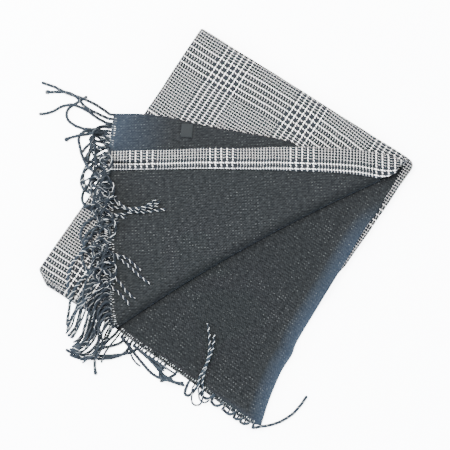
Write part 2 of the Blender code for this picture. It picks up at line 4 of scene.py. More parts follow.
import bmesh
import bpy
from mathutils import Matrix, Vector, noise
from mathutils.bvhtree import BVHTree


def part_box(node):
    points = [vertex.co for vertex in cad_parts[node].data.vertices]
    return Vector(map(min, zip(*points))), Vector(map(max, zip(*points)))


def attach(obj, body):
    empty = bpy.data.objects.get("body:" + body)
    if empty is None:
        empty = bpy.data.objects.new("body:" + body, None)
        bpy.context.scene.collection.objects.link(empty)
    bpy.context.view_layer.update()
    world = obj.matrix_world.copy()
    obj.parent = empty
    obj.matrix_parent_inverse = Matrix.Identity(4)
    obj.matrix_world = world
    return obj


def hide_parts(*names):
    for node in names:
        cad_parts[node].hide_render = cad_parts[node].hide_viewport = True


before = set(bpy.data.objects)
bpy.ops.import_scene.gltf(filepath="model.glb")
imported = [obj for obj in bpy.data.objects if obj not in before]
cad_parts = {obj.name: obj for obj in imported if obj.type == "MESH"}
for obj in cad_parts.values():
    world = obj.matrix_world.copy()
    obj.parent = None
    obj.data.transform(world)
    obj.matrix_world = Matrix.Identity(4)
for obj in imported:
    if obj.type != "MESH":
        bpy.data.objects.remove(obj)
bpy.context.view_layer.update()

# Sizes are in metres. Places are given in the cutting plan, which the label's
# place in the frame moves onto the part.
cloth = {
    "thickness": 0.0014,
    "seam": 0.0003,
    "labelPlan": (-0.0531, 0.13),
    "cornerPlan": (-0.0336, 0.2729),  # the stack's back corner, where both threads start
    "warpWay": (0.8368, -0.5476),  # across the threads that run to the front left
    "weftWay": (0.5299, 0.848),
    "warpPitch": 0.000991,
    "weftPitch": 0.00101,
    "warpBand": 0.0404,  # from the corner to the start of a wide band
    "weftBand": -0.0595,
    # the weft rows bow off straight, by powers of the distance in tenths of a metre
    "rowBow": (0.0002, -0.006, 0.012, -0.0064, 0.0009),
    "bowReach": (-0.3, 2.8),
    "yarnCrown": (0.45, 0.55),  # how much a thread's crown rises, over its ends
    "driftScale": 45.0,  # threads drift slowly, and their edges are fuzzy
    "fuzzScale": 650.0,
    "fuzz": 0.0003,
    "slack": 0.0002,  # how far a fold's unevenness may go towards its neighbour
    "noiseLayer": 0.37,  # the layer of the noise that gives all unevenness
    "raysFrom": 0.1,  # rays that look for the cloth start this high
}
labelLow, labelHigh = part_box("label")
labelMiddle = (Vector(labelLow) + Vector(labelHigh)) / 2
onPart = Vector((labelMiddle.x - cloth["labelPlan"][0], labelMiddle.y - cloth["labelPlan"][1], 0.0))


def ease(value, low, high):
    share = min(max((value - low) / (high - low), 0.0), 1.0)
    return share * share * (3.0 - 2.0 * share)


def between(a, b, share):
    return a + (b - a) * share


def raised(point, z):
    return Vector((point.x, point.y, z))


def planDistance(a, b):
    return (a.to_2d() - b.to_2d()).length


# distances along a line, from its first point
def walked(line):
    made = [0.0]
    for a, b in zip(line, line[1:]):
        made.append(made[-1] + (b - a).length)
    return made


def spaced(line, count):
    lengths = walked(line)
    made, k = [], 0
    for i in range(count):
        target = lengths[-1] * i / (count - 1)
        while k < len(line) - 2 and lengths[k + 1] < target:
            k += 1
        made.append(line[k].lerp(line[k + 1], (target - lengths[k]) / (lengths[k + 1] - lengths[k])))
    return made


# evenly spaced points on a smooth curve through the given ones
def smoothCurve(points, count, steps=24):
    nodes = [2 * points[0] - points[1]] + points + [2 * points[-1] - points[-2]]
    fine = []
    for a, b, c, d in zip(nodes, nodes[1:], nodes[2:], nodes[3:]):
        for step in range(steps):
            t = step / steps
            fine.append(0.5 * (2 * b + (c - a) * t + (2 * a - 5 * b + 4 * c - d) * t * t
                               + (3 * b - a - 3 * c + d) * t ** 3))
    return spaced(fine + [nodes[-2]], count)


def flatCurve(points, count):
    return smoothCurve([Vector(point) for point in points], count)


def atShare(line, share):
    place = share * (len(line) - 1)
    k = min(int(place), len(line) - 2)
    return line[k].lerp(line[k + 1], place - k)


# slow unevenness of hand-folded cloth
def uneven(x, y, size, height):
    return height * noise.noise(Vector((x / size, y / size, cloth["noiseLayer"])))


creaseShape = {
    "reach": 3,  # half widths to either side
    "fadeIn": (-0.25, 0.2),  # shares of its length
    "fadeOut": (0.8, 1.25),
}


# a piece's unevenness with its soft creases: from x, y, to x, y, half width, height (a
# trough is below 0)
def rippled(piece, x, y):
    lift = 0.0
    for x1, y1, x2, y2, width, height in piece["creases"]:
        start, way = Vector((x1, y1)), Vector((x2 - x1, y2 - y1))
        offset = Vector((x, y)) - start
        along = offset.dot(way) / way.length_squared
        aside = (offset - way * along).length / width
        if aside < creaseShape["reach"]:
            fadeIn, fadeOut = (ease(along, *creaseShape[key]) for key in ("fadeIn", "fadeOut"))
            lift += height * math.exp(-aside * aside) * fadeIn * (1 - fadeOut)
    return lift + uneven(x, y, *piece["wave"])


# the check's own axes
def clothChart(x, y):
    corner = cloth["cornerPlan"]
    offset = Vector((x - corner[0], y - corner[1]))
    across, along = offset.dot(Vector(cloth["warpWay"])), offset.dot(Vector(cloth["weftWay"]))
    far = min(max(across * 10, cloth["bowReach"][0]), cloth["bowReach"][1])
    bow = sum(term * far ** power for power, term in enumerate(cloth["rowBow"]))
    return across - cloth["warpBand"], along - cloth["weftBand"] - bow


def addObject(name, data):
    made = bpy.data.objects.new(name, data)
    bpy.context.scene.collection.objects.link(made)
    return made


def meshFrom(name, bm):
    mesh = bpy.data.meshes.new(name)
    bm.to_mesh(mesh)
    bm.free()
    return mesh


def addPiece(name, bm, slot, nodes):
    bmesh.ops.translate(bm, verts=bm.verts, vec=onPart)
    piece = addObject(name, meshFrom(name, bm))
    piece.data.materials.append(materials[slot])
    piece.data.shade_smooth()
    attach(piece, "root")
    if nodes:
        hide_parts(*nodes)
    return piece


# a grid whose points are moved to rows of places, with the cloth's own chart as UV map;
# tone is 1 where cool side light catches the cloth and -1 in a fold's shade
def gridMesh(rows, chart, tones=None):
    across, along = len(rows[0]) - 1, len(rows) - 1
    bm = bmesh.new()
    bmesh.ops.create_grid(bm, x_segments=across, y_segments=along, size=0.5)
    uvMap, tone = bm.loops.layers.uv.new("cloth"), bm.verts.layers.float.new("tone")
    spots = {vert: (round((vert.co.y + 0.5) * along), round((vert.co.x + 0.5) * across)) for vert in bm.verts}
    for face in bm.faces:
        for loop in face.loops:
            i, j = spots[loop.vert]
            loop[uvMap].uv = chart[i][j]
    for vert, (i, j) in spots.items():
        vert.co = rows[i][j]
        vert[tone] = tones[i][j] if tones else 0.0
    bm.normal_update()
    return bm


def addWall(piece, name, thickness):
    wall = piece.modifiers.new(name, "SOLIDIFY")
    wall.thickness = thickness
    wall.offset = -1.0
    return wall


def clothPiece(name, rows, chart, slot, node, tones=None, thickness=cloth["thickness"]):
    bm = gridMesh(rows, chart, tones)
    if sum(face.normal.z for face in bm.faces) < 0:
        bmesh.ops.reverse_faces(bm, faces=bm.faces)
    piece = addPiece(name, bm, slot, [node])
    addWall(piece, "Cloth", thickness)
    return piece


# Shading: helpers for nodes and node groups
def put(tree, kind, sockets=None, **settings):
    made = tree.nodes.new(kind)
    for key, value in settings.items():
        setattr(made, key, value)
    for key, value in (sockets or {}).items():
        if isinstance(value, bpy.types.NodeSocket):
            tree.links.new(value, made.inputs[key])
        else:
            made.inputs[key].default_value = value
    return made


def calc(tree, operation, *values):
    return put(tree, "ShaderNodeMath", dict(enumerate(values)), operation=operation).outputs[0]


def vectorCalc(tree, operation, first, second):
    key = "Scale" if operation == "SCALE" else 1
    return put(tree, "ShaderNodeVectorMath", {0: first, key: second}, operation=operation).outputs[0]


def mixed(tree, share, first, second, blend="MIX"):
    sockets = {0: share, 6: first, 7: second}
    return put(tree, "ShaderNodeMix", sockets, data_type="RGBA", blend_type=blend).outputs[2]


def chosen(tree, share, first, second):
    return put(tree, "ShaderNodeMix", {0: share, 2: first, 3: second}, data_type="FLOAT").outputs[0]


def ranged(tree, value, low, high, lowTo=0.0, highTo=1.0):
    return put(tree, "ShaderNodeMapRange", {0: value, 1: low, 2: high, 3: lowTo, 4: highTo}).outputs[0]


noiseSpan = (0.3, 0.7)  # where most of a noise lies


def noiseOn(tree, vector, scale, detail=2.0):
    return put(tree, "ShaderNodeTexNoise", {"Vector": vector, "Scale": scale, "Detail": detail}).outputs


def attribute(tree, name):
    return put(tree, "ShaderNodeAttribute", attribute_name=name).outputs["Fac"]


def newGroup(name, inputs, outputs):
    tree = bpy.data.node_groups.new(name, "ShaderNodeTree")
    for side, labels in (("INPUT", inputs), ("OUTPUT", outputs)):
        for label in labels:
            kind = "NodeSocketVector" if label == "Chart" else "NodeSocketFloat"
            tree.interface.new_socket(name=label, in_out=side, socket_type=kind)
    return tree, put(tree, "NodeGroupInput").outputs, put(tree, "NodeGroupOutput")


def useGroup(tree, group, sockets):
    return put(tree, "ShaderNodeGroup", sockets, node_tree=group).outputs


def newMaterial(name):
    material = bpy.data.materials.new(name)
    material.use_nodes = True
    return material, material.node_tree


# what cloth, yarn and tape start from: the piece's chart and the noise of its fibres
def fibreMaterial(name, settings):
    material, tree = newMaterial(name)
    chart = put(tree, "ShaderNodeUVMap", uv_map="cloth").outputs[0]
    return material, tree, chart, noiseOn(tree, chart, settings["fibreScale"])[0]


# and what they end in; the height is the yarn's own relief
def finished(material, settings, colour, fibre, height):
    tree = material.node_tree
    sockets = tree.nodes["Principled BSDF"].inputs
    strength, distance = settings["bump"]
    bump = put(tree, "ShaderNodeBump", {"Strength": strength, "Distance": distance, "Height": height})
    tree.links.new(colour, sockets["Base Color"])
    tree.links.new(ranged(tree, fibre, *noiseSpan, *settings["rough"]), sockets["Roughness"])
    tree.links.new(bump.outputs[0], sockets["Normal"])
    sockets["Specular IOR Level"].default_value = settings["specular"]
    for key, value in zip(("Sheen Weight", "Sheen Roughness", "Sheen Tint"), settings["sheen"]):
        sockets[key].default_value = value
    return material


# 2/2 twill: the numbers of the warp and weft thread, which of them lies on top, and
# the height of the yarn
def threadGroup():
    tree, given, result = newGroup("twillThreads", ("Chart", "Warp Pitch", "Weft Pitch", "Drift"),
                                   ("Warp", "Weft", "Over", "Height", "Across", "Along"))
    moved = given["Chart"]
    for scale, reach in ((cloth["driftScale"], given["Drift"]), (cloth["fuzzScale"], cloth["fuzz"])):
        spread = noiseOn(tree, given["Chart"], scale, 1.0)["Color"]
        way = vectorCalc(tree, "SUBTRACT", spread, (0.5, 0.5, 0.5))
        moved = vectorCalc(tree, "ADD", moved, vectorCalc(tree, "SCALE", way, reach))
    axes = put(tree, "ShaderNodeSeparateXYZ", {0: moved}).outputs
    x = calc(tree, "DIVIDE", axes[0], given["Warp Pitch"])
    y = calc(tree, "DIVIDE", axes[1], given["Weft Pitch"])
    warp, weft = calc(tree, "FLOOR", x), calc(tree, "FLOOR", y)
    inWarp, inWeft = calc(tree, "SUBTRACT", x, warp), calc(tree, "SUBTRACT", y, weft)
    turn = calc(tree, "FLOORED_MODULO", calc(tree, "ADD", warp, weft), 4.0)
    over = calc(tree, "LESS_THAN", turn, 2.0)
    heights = []
    for side, end, start in ((inWarp, inWeft, 0.0), (inWeft, inWarp, 2.0)):
        offCentre = calc(tree, "SUBTRACT", calc(tree, "MULTIPLY", side, 2.0), 1.0)
        domed = calc(tree, "SUBTRACT", 1.0, calc(tree, "MULTIPLY", offCentre, offCentre))
        place = calc(tree, "SUBTRACT", calc(tree, "ADD", turn, end), start)
        crown = calc(tree, "SINE", calc(tree, "MULTIPLY", place, math.pi / 2))
        heights.append(calc(tree, "MULTIPLY", domed, calc(tree, "MULTIPLY_ADD", crown, *cloth["yarnCrown"])))
    height = chosen(tree, over, heights[1], heights[0])
    made = {"Warp": warp, "Weft": weft, "Over": over, "Height": height, "Across": x, "Along": y}
    for key, value in made.items():
        tree.links.new(value, result.inputs[key])
    return tree


# a glen check's order of colours: wide stripes of four threads, then narrow ones of two;
# the dark yarn is fuller and spreads over the pale one beside it
def orderGroup():
    tree, given, result = newGroup("colourOrder", ("Thread", "Repeat", "Wide", "Wide Spread", "Spread"),
                                   ("Dark", "Band"))
    place = calc(tree, "FLOORED_MODULO", given["Thread"], given["Repeat"])
    band = calc(tree, "LESS_THAN", place, given["Wide"])
    stripes = []
    for threads, spread in ((2.0, given["Spread"]), (4.0, given["Wide Spread"])):
        inStripe = calc(tree, "FLOORED_MODULO", calc(tree, "ADD", place, spread), threads * 2)
        stripes.append(calc(tree, "LESS_THAN", inStripe, calc(tree, "MULTIPLY_ADD", spread, 2.0, threads)))
    tree.links.new(chosen(tree, band, *stripes), result.inputs["Dark"])
    tree.links.new(band, result.inputs["Band"])
    return tree


twillThreads, colourOrder = threadGroup(), orderGroup()

check = {
    # threads in a repeat, and in its wide stripes
    "warpOrder": (120, 48),
    "weftOrder": (112, 40),
    "wideSpread": 1.24,
    "spread": 0.76,
    "pale": (0.93, 0.88, 0.83, 1.0),
    "shaded": (0.75, 0.71, 0.675, 1.0),
    "dark": (0.006, 0.0068, 0.0078, 1.0),
    "worn": (0.018, 0.02, 0.022, 1.0),
    "wornSpan": (0.35, 0.75),
    "groove": (0.6, 0.45),  # up to this height of the yarn it is shaded, down to this share
    "creaseShade": 0.05,  # shade where the tone is -1
    "drift": 0.0016,
    "fibreScale": 1400.0,
    "bump": (0.6, 0.0005),  # strength, distance
    "rough": (0.82, 0.95),
    "specular": 0.04,
    "sheen": (0.05, 0.4, (0.75, 0.85, 1.0, 1.0)),
}


def weave(tree, chart, settings):
    threads = useGroup(tree, twillThreads, {
        "Chart": chart, "Warp Pitch": cloth["warpPitch"], "Weft Pitch": cloth["weftPitch"],
        "Drift": settings["drift"]})
    orders = []
    for way, (repeat, wide) in (("Across", check["warpOrder"]), ("Along", check["weftOrder"])):
        orders.append(useGroup(tree, colourOrder, {
            "Thread": threads[way], "Repeat": repeat, "Wide": wide,
            "Wide Spread": check["wideSpread"], "Spread": check["spread"]}))
    return threads, *orders


def checkFace():
    material, tree, chart, fibre = fibreMaterial("checkFace", check)
    threads, warp, weft = weave(tree, chart, check)
    dark = chosen(tree, threads["Over"], weft["Dark"], warp["Dark"])
    pale = mixed(tree, ranged(tree, fibre, *noiseSpan), check["shaded"], check["pale"])
    black = mixed(tree, ranged(tree, fibre, *check["wornSpan"]), check["dark"], check["worn"])
    colour = mixed(tree, dark, pale, black)
    # painted shade in the grooves between the yarns, and along a crease where the tone is -1
    for shade in (ranged(tree, threads["Height"], 0.0, *check["groove"]),
                  ranged(tree, attribute(tree, "tone"), -1.0, 0.0, check["creaseShade"])):
        colour = mixed(tree, 1.0, colour, shade, "MULTIPLY")
    return finished(material, check, colour, fibre, threads["Height"])


darkCloth = {
    "yarn": (0.0022, 0.0027, 0.003, 1.0),
    "heather": (0.0142, 0.0152, 0.0155, 1.0),
    "streaks": (0.45, 1.3, 1.0),  # the mottling is drawn out along the first axis
    "fleck": (0.05, 0.052, 0.05, 1.0),
    "paintedSideLight": (0.005, 0.0086, 0.0146, 1.0),  # painted cool side light, added where the tone is 1
    "foldShade": 0.6,  # shade where the tone is -1
    "drift": 0.003,
    "fibreScale": 900.0,
    "mottleScale": 400.0,
    "mottleSpan": (0.38, 0.62),
    "patchScale": 60.0,
    # how far each makes the yarn heathered: upper threads, fibres, mottling
    "heathering": (0.1, 0.3, 0.52),
    "spot": (1.5, 0.5),  # the first threads of each four, at whose crossing a fleck shows
    "rarity": 3.0,  # the higher, the fewer flecks are strong
    # a fleck's strength by luck and by bands as range and least, then by patch and by fibre
    "byLuck": (0.85, 0.08),
    "byBands": (0.35, 0.6),
    "byPatch": (0.25, 1.4),
    "byFibre": (0.35, 0.6, 0.3, 1.2),
    "bump": (0.6, 0.0004),
    "rough": (0.85, 0.97),
    "specular": 0.04,
    "sheen": (0.06, 0.3, (0.42, 0.6, 0.95, 1.0)),
}


def darkFace():
    material, tree, chart, fibre = fibreMaterial("darkFace", darkCloth)
    threads, warp, weft = weave(tree, chart, darkCloth)
    patch = noiseOn(tree, chart, darkCloth["patchScale"])[0]
    drawn = vectorCalc(tree, "MULTIPLY", chart, darkCloth["streaks"])
    mottle = noiseOn(tree, drawn, darkCloth["mottleScale"])[0]
    overShare, fibreShare, mottleShare = darkCloth["heathering"]
    share = calc(tree, "MULTIPLY_ADD", threads["Over"], overShare,
                 ranged(tree, fibre, *noiseSpan, 0.0, fibreShare))
    share = calc(tree, "ADD", share, ranged(tree, mottle, *darkCloth["mottleSpan"], 0.0, mottleShare))
    colour = mixed(tree, share, darkCloth["yarn"], darkCloth["heather"])
    # pale threads of the check face show through at one crossing of each small check
    checkNumber, inSpot = {}, []
    for k, (way, shown) in enumerate(zip(("Warp", "Weft"), darkCloth["spot"])):
        checkNumber[k] = calc(tree, "FLOOR", calc(tree, "DIVIDE", threads[way], 4.0))
        inSpot.append(calc(tree, "LESS_THAN", calc(tree, "FLOORED_MODULO", threads[way], 4.0), shown))
    cell = put(tree, "ShaderNodeCombineXYZ", checkNumber).outputs[0]
    luck = put(tree, "ShaderNodeTexWhiteNoise", {"Vector": cell}, noise_dimensions="2D").outputs[0]
    bands = calc(tree, "ADD", warp["Band"], weft["Band"])
    rare = calc(tree, "POWER", luck, darkCloth["rarity"])
    strength = calc(tree, "MULTIPLY_ADD", rare, *darkCloth["byLuck"])
    for factor in (calc(tree, "MULTIPLY_ADD", bands, *darkCloth["byBands"]),
                   ranged(tree, patch, *noiseSpan, *darkCloth["byPatch"]),
                   ranged(tree, fibre, *darkCloth["byFibre"]), calc(tree, "MULTIPLY", *inSpot)):
        strength = calc(tree, "MULTIPLY", strength, factor)
    colour = mixed(tree, strength, colour, darkCloth["fleck"])
    # painted light and shade from the tone: a fold's painted shade multiplied in, painted cool side light
    # added
    tone = attribute(tree, "tone")
    colour = mixed(tree, 1.0, colour, ranged(tree, tone, -1.0, 0.0, darkCloth["foldShade"]), "MULTIPLY")
    colour = mixed(tree, ranged(tree, tone, 0.0, 1.0), colour, darkCloth["paintedSideLight"], "ADD")
    return finished(material, darkCloth, colour, fibre, threads["Height"])


yarn = {
    "dark": (0.0042, 0.005, 0.006, 1.0),
    "blue": (0.0105, 0.0128, 0.0155, 1.0),
    "paintedSideLight": (0.0045, 0.0062, 0.008, 1.0),  # painted cool side light, added where the tone is 1
    "pale": (0.6, 0.6, 0.58, 1.0),
    "marlPower": 3.0,  # the higher, the fewer strands are marled
    "paleFibre": (0.38, 0.5, 0.35),
    "fibreTwist": 0.0016,
    "fibreScale": 300.0,
    "bump": (0.5, 0.0002),
    "rough": (0.8, 0.95),
    "specular": 0.04,
    "sheen": (0.06, 0.35, (0.5, 0.68, 0.95, 1.0)),
}
tape = {
    "warp": (0.0075, 0.0083, 0.0086, 1.0),
    "weft": (0.0125, 0.0138, 0.014, 1.0),
    "rib": 0.0006,
    "fibreScale": 1500.0,
    "bump": (0.5, 0.0002),
    "rough": (0.6, 0.75),
    "specular": 0.05,
    "sheen": (0.0, 0.5, (1.0, 1.0, 1.0, 1.0)),
}


# goes from 0 to 1 and back with each turn
def waveOf(tree, turn, perTurn):
    wave = calc(tree, "SINE", calc(tree, "MULTIPLY", turn, perTurn))
    return calc(tree, "MULTIPLY_ADD", wave, 0.5, 0.5)


def yarnFace():
    material, tree, chart, fibre = fibreMaterial("fringeYarn", yarn)
    axes = put(tree, "ShaderNodeSeparateXYZ", {0: chart}).outputs
    turn = calc(tree, "ADD", calc(tree, "DIVIDE", axes[0], yarn["fibreTwist"]), axes[1])
    dark = mixed(tree, ranged(tree, fibre, *noiseSpan), yarn["dark"], yarn["blue"])
    # painted cool side light on the strands where their tone is 1
    dark = mixed(tree, attribute(tree, "tone"), dark, yarn["paintedSideLight"], "ADD")
    marl = calc(tree, "POWER", attribute(tree, "marl"), yarn["marlPower"])
    share = calc(tree, "MULTIPLY", marl, ranged(tree, fibre, *yarn["paleFibre"]))
    colour = mixed(tree, share, dark, yarn["pale"])
    return finished(material, yarn, colour, fibre, waveOf(tree, turn, 2 * math.pi))


def tapeFace():
    material, tree, chart, fibre = fibreMaterial("labelTape", tape)
    axes = put(tree, "ShaderNodeSeparateXYZ", {0: chart}).outputs
    colour = mixed(tree, ranged(tree, fibre, *noiseSpan), tape["warp"], tape["weft"])
    return finished(material, tape, colour, fibre, waveOf(tree, axes[1], 2 * math.pi / tape["rib"]))


materials = {"check_face": checkFace(), "dark_face": darkFace(), "fringe": yarnFace(), "label": tapeFace()}
print("materials: check face, dark face, fringe yarn, label tape")


# The folded stack: one thin skin all round, with the rounded fold of each leaf at its sides
stack = {
    # plan corner x, y, its radius, the side that follows, the steps along that side
    "back": ((-0.0336, 0.2729, 0.004, "left", 36), (-0.1511, 0.0916, 0.03, "left", 28),
             (-0.2535, -0.0605, 0.003, "left foot", 5), (-0.2444, -0.0812, 0.003, "front left", 26)),
    "front": ((-0.15, -0.141, 0.004, "front", 52), (0.0465, -0.2722, 0.005, "rolled", 8),
              (0.0583, -0.238, 0.01, "rolled", 11), (0.079, -0.1905, 0.01, "rolled", 12),
              (0.106, -0.141, 0.01, "rolled", 18), (0.152, -0.069, 0.015, "sliver", 38)),
    "right": (0.2581, 0.087, 0.014, "back", 58),
    "slabRight": (0.2527, 0.0893, 0.008, "back", 58),
    "sides": ("left", "left foot", "front left", "front", "rolled", "sliver", "back"),
    # each leaf from the top down: its top, then how far each side lies inside the outline
    "slab": ((0.013, 0.0, 0.0, 0.0048, 0.0072, 0.0072, 0.0072, 0.0),
             (0.01137, 0.0007, 0.001, 0.0042, 0.0066, 0.0066, 0.0066, 0.0006),
             (0.00975, 0.0018, 0.0018, 0.0035, 0.0032, 0.0032, 0.0032, 0.0016),
             (0.00812, 0.0012, 0.0014, 0.0018, 0.0035, 0.0035, 0.0035, 0.0009)),
    "base": ((0.0065, 0.0008, 0.0008, 0.0, 0.0115, 0.0142, 0.0, 0.0002),
             (0.00487, 0.0003, 0.0012, 0.0006, 0.0117, 0.014, 0.0006, 0.0008),
             (0.00325, 0.002, 0.002, 0.001, 0.012, 0.0048, 0.0015, 0.0012),
             (0.00162, 0.001, 0.0016, 0.0008, 0.0122, 0.0052, 0.0012, 0.0004)),
    "leaf": 0.001625,
    "edge": 0.0011,  # how far a leaf's fold rounds back
    "foldAngles": (90, 50, 15, -15, -50, -90),
    "waver": (0.035, 0.0007),  # size and height of the folds' wandering in and out
    "leafShift": 7,  # sets each leaf's wandering apart from the next one's
    "topRings": 34,
    "ledgeRings": 6,
    "floorRings": 8,
    "cornerSteps": 5,
    "hiddenSlip": (0.031, 0.047),  # the lower leaves' check is out of step with the top one
    "skin": 0.0006,
    "crowding": 1.4,  # the top's rings crowd towards its edge
    "flatFrom": 0.9,  # from here out the top is flat
    "wave": (0.07, 0.0004),  # size and height of the unevenness
    "creases": (
        # from x, y, to x, y, half width, height
        (0.02, 0.226, -0.16, 0.05, 0.01, 0.0004),
        (0.12, 0.165, 0.03, 0.12, 0.009, -0.0005),
        (-0.11, 0.15, -0.2, 0.02, 0.007, -0.0004),
        (-0.225, -0.01, -0.15, -0.06, 0.009, 0.0004),
    ),
}
foldLine = {"foot": (-0.149, -0.1415), "head": (0.2087, 0.0619), "bow": 0.01}


def diagonalFold(count):
    a, b = Vector(foldLine["foot"]), Vector(foldLine["head"])
    left = Vector((a.y - b.y, b.x - a.x)).normalized()
    return [a.lerp(b, i / (count - 1)) + left * foldLine["bow"] * 4 * i * (count - 1 - i) / (count - 1) ** 2
            for i in range(count)]


# rounded outline as point, side before, side after, share of the side after
def outline(corners):
    loop = []
    for i, (x, y, radius, side, steps) in enumerate(corners):
        following = corners[(i + 1) % len(corners)]
        here, before, after = Vector((x, y)), Vector(corners[i - 1][:2]), Vector(following[:2])
        enter = here + (before - here).normalized() * radius
        leave = here + (after - here).normalized() * radius
        for step in range(stack["cornerSteps"] + 1):
            t = step / stack["cornerSteps"]
            loop.append((enter * (1 - t) ** 2 + here * 2 * t * (1 - t) + leave * t * t,
                         corners[i - 1][3], side, t))
        arrive = after + (here - after).normalized() * following[2]
        for step in range(1, steps):
            loop.append((leave.lerp(arrive, step / steps), side, side, 0.0))
    return loop


def outwards(loop, k):
    points = [entry[0] for entry in (loop[k - 1], loop[(k + 1) % len(loop)])]
    way = (points[1] - points[0]).normalized()
    return Vector((way.y, -way.x))


# one ring of the skin: places and chart, drawn in from the outline
def stackRing(loop, leaf, extra, z, unrolled, slip=(0.0, 0.0)):
    insets = dict(zip(stack["sides"], leaf[1:]))
    places, chart = [], []
    for k, (point, before, after, share) in enumerate(loop):
        out = outwards(loop, k)
        inset = between(insets[before], insets[after], share) + extra
        inset += uneven(point.x + stack["leafShift"] * leaf[0], point.y, *stack["waver"])
        places.append(raised(point - out * inset, z))
        u, v = clothChart(*(point + out * unrolled))
        chart.append((u + slip[0], v + slip[1]))
    return places, chart


def leafFolds(loop, leaves, slip=(0.0, 0.0)):
    rings, unrolled = [], 0.0
    for leaf in leaves:
        for angle in map(math.radians, stack["foldAngles"]):
            back = stack["edge"] * (1 - math.cos(angle))
            z = leaf[0] - stack["leaf"] * (0.5 - 0.5 * math.sin(angle))
            rings.append(stackRing(loop, leaf, back, max(z, 0.0), unrolled, slip))
            unrolled += stack["leaf"] / 4
    return rings


def foldedStack():
    base = outline((*stack["back"], *stack["front"], stack["right"]))
    fold = diagonalFold(len(stack["front"]) + 1)
    front = [(p.x, p.y, *corner[2:]) for p, corner in zip(fold, stack["front"])]
    slab = outline((*stack["back"], *front, stack["slabRight"]))
    rings = []
    top = stackRing(slab, stack["slab"][0], stack["edge"], stack["slab"][0][0], 0.0)
    middle = sum(top[0], Vector((0, 0, 0))) / len(top[0])
    for k in range(stack["topRings"]):
        share = 1 - (1 - k / stack["topRings"]) ** stack["crowding"]
        places = [middle.lerp(place, share) for place in top[0]]
        fade = 1 - ease(share, stack["flatFrom"], 1.0)
        for place in places:
            lift = fade * rippled(stack, place.x, place.y)
            place.z = min(place.z + lift, stack["slab"][0][0] + cloth["slack"])
        rings.append((places, [clothChart(place.x, place.y) for place in places]))
    rings += leafFolds(slab, stack["slab"])
    ledge = stackRing(base, stack["base"][0], stack["edge"], stack["base"][0][0], 0.0, stack["hiddenSlip"])
    under = rings[-1][0]
    for k in range(1, stack["ledgeRings"]):
        places = [a.lerp(b, k / stack["ledgeRings"]) for a, b in zip(under, ledge[0])]
        chart = [Vector(clothChart(p.x, p.y)) + Vector(stack["hiddenSlip"]) for p in places]
        rings.append((places, chart))
    rings += leafFolds(base, stack["base"], stack["hiddenSlip"])
    floor = rings[-1][0]
    for k in range(1, stack["floorRings"] + 1):
        places = [a.lerp(raised(middle, 0.0), k / stack["floorRings"]) for a in floor]
        rings.append((places, [clothChart(p.x, p.y) for p in places]))
    for places, chart in rings:
        places.append(places[0].copy())
        chart.append(chart[0])
    bm = gridMesh([places for places, _ in rings], [chart for _, chart in rings])
    bmesh.ops.remove_doubles(bm, verts=bm.verts, dist=1e-6)
    bmesh.ops.recalc_face_normals(bm, faces=bm.faces)
    piece = addPiece("foldedStack", bm, "check_face", ["folded_stack"])
    # where a tight corner turns the lowest fold over itself, the skin has no thickness
    turned = {k for face in piece.data.polygons if face.normal.z > 0 and face.center.z < stack["skin"]
              for k in face.vertices}
    group = piece.vertex_groups.new(name="skin")
    group.add([k for k in range(len(piece.data.vertices)) if k not in turned], 1.0, "REPLACE")
    addWall(piece, "Skin", stack["skin"]).vertex_group = "skin"
    return piece


# across a panel: distance from its first edge, and how far round the roll; a narrow panel
# rolls over less than half its width
def rollSection(width, roll, flatSteps, rollSteps, most=0.45):
    roll = min(roll, most * width)
    section = [((width - roll) * k / flatSteps, 0.0) for k in range(flatSteps)]
    for k in range(rollSteps + 1):
        angle = math.radians(90) * k / rollSteps
        section.append((width - roll + roll * math.sin(angle), angle))
    return section


# The lower leaf, dark face up, with its soft rolled right edge
lower = {
    "top": 0.0084,
    "inset": 0.002,
    "head": (0.238, 0.08),
    "rim": (0.0018, 0.0084),  # the rolled edge off the stack, and on it
    "onStack": (0.4, 0.52),  # where along the edge it climbs onto the stack
    "roll": 0.014,
    "puff": 0.0018,
    "crown": (0.056, 0.028),  # where the crown starts, and its room to the fold
    "droop": 0.4,
    "droopLength": 0.009,
    "rightEdge": ((0.0474, -0.2727), (0.0583, -0.238), (0.0745, -0.1995), (0.0893, -0.1755),
                  (0.0996, -0.1514), (0.1508, -0.0674), (0.1872, -0.0055), (0.2052, 0.0193),
                  (0.219, 0.044), (0.2415, 0.0835)),
    # the fringed end, from the fold's foot to the front corner
    "end": ((-0.15, -0.141), (-0.126, -0.1589), (-0.0447, -0.216), (0.0095, -0.2559),
            (0.033, -0.27), (0.0474, -0.2727)),
    "endReach": 0.06,  # how far inside the end its curve is gone
    "steps": (121, 110, 44, 12),  # points of the edges, rows, then steps over the flat and the roll
    "crowding": 1.25,
    "calm": 0.02,  # the edges lie still up to here
    "wave": (0.06, 0.0005),
    "tone": -0.4,
    "foldShade": 0.012,  # how far out from the fold its shade reaches
    # how far in the side light reaches from the rolled edge, and where along it this fades
    "coolEdge": 0.036,
    "coolRun": (0.26, 0.4),
    # the same from the fringed end, its share, and between which shares of the width
    "coolEnd": 0.03,
    "coolEndShare": 0.65,
    "coolEndSpan": (0.1, 0.9),
    "endRise": 0.0012,  # hem stitches start this high up the end's rolled edge
    "creases": (
        (-0.028, -0.082, 0.015, -0.205, 0.011, -0.0007),
        (0.04, -0.06, 0.055, -0.165, 0.016, 0.0005),
        (-0.09, -0.13, -0.06, -0.19, 0.01, 0.0005),
        (0.11, -0.02, 0.128, -0.075, 0.01, -0.0005),
    ),
}


# how far a fringed end's curve lies from the straight line between its ends
def endOffsets(end, steps=72):
    first, last = Vector(end[0]), Vector(end[-1])
    return [point - first.lerp(last, k / steps) for k, point in enumerate(flatCurve(end, steps + 1))]


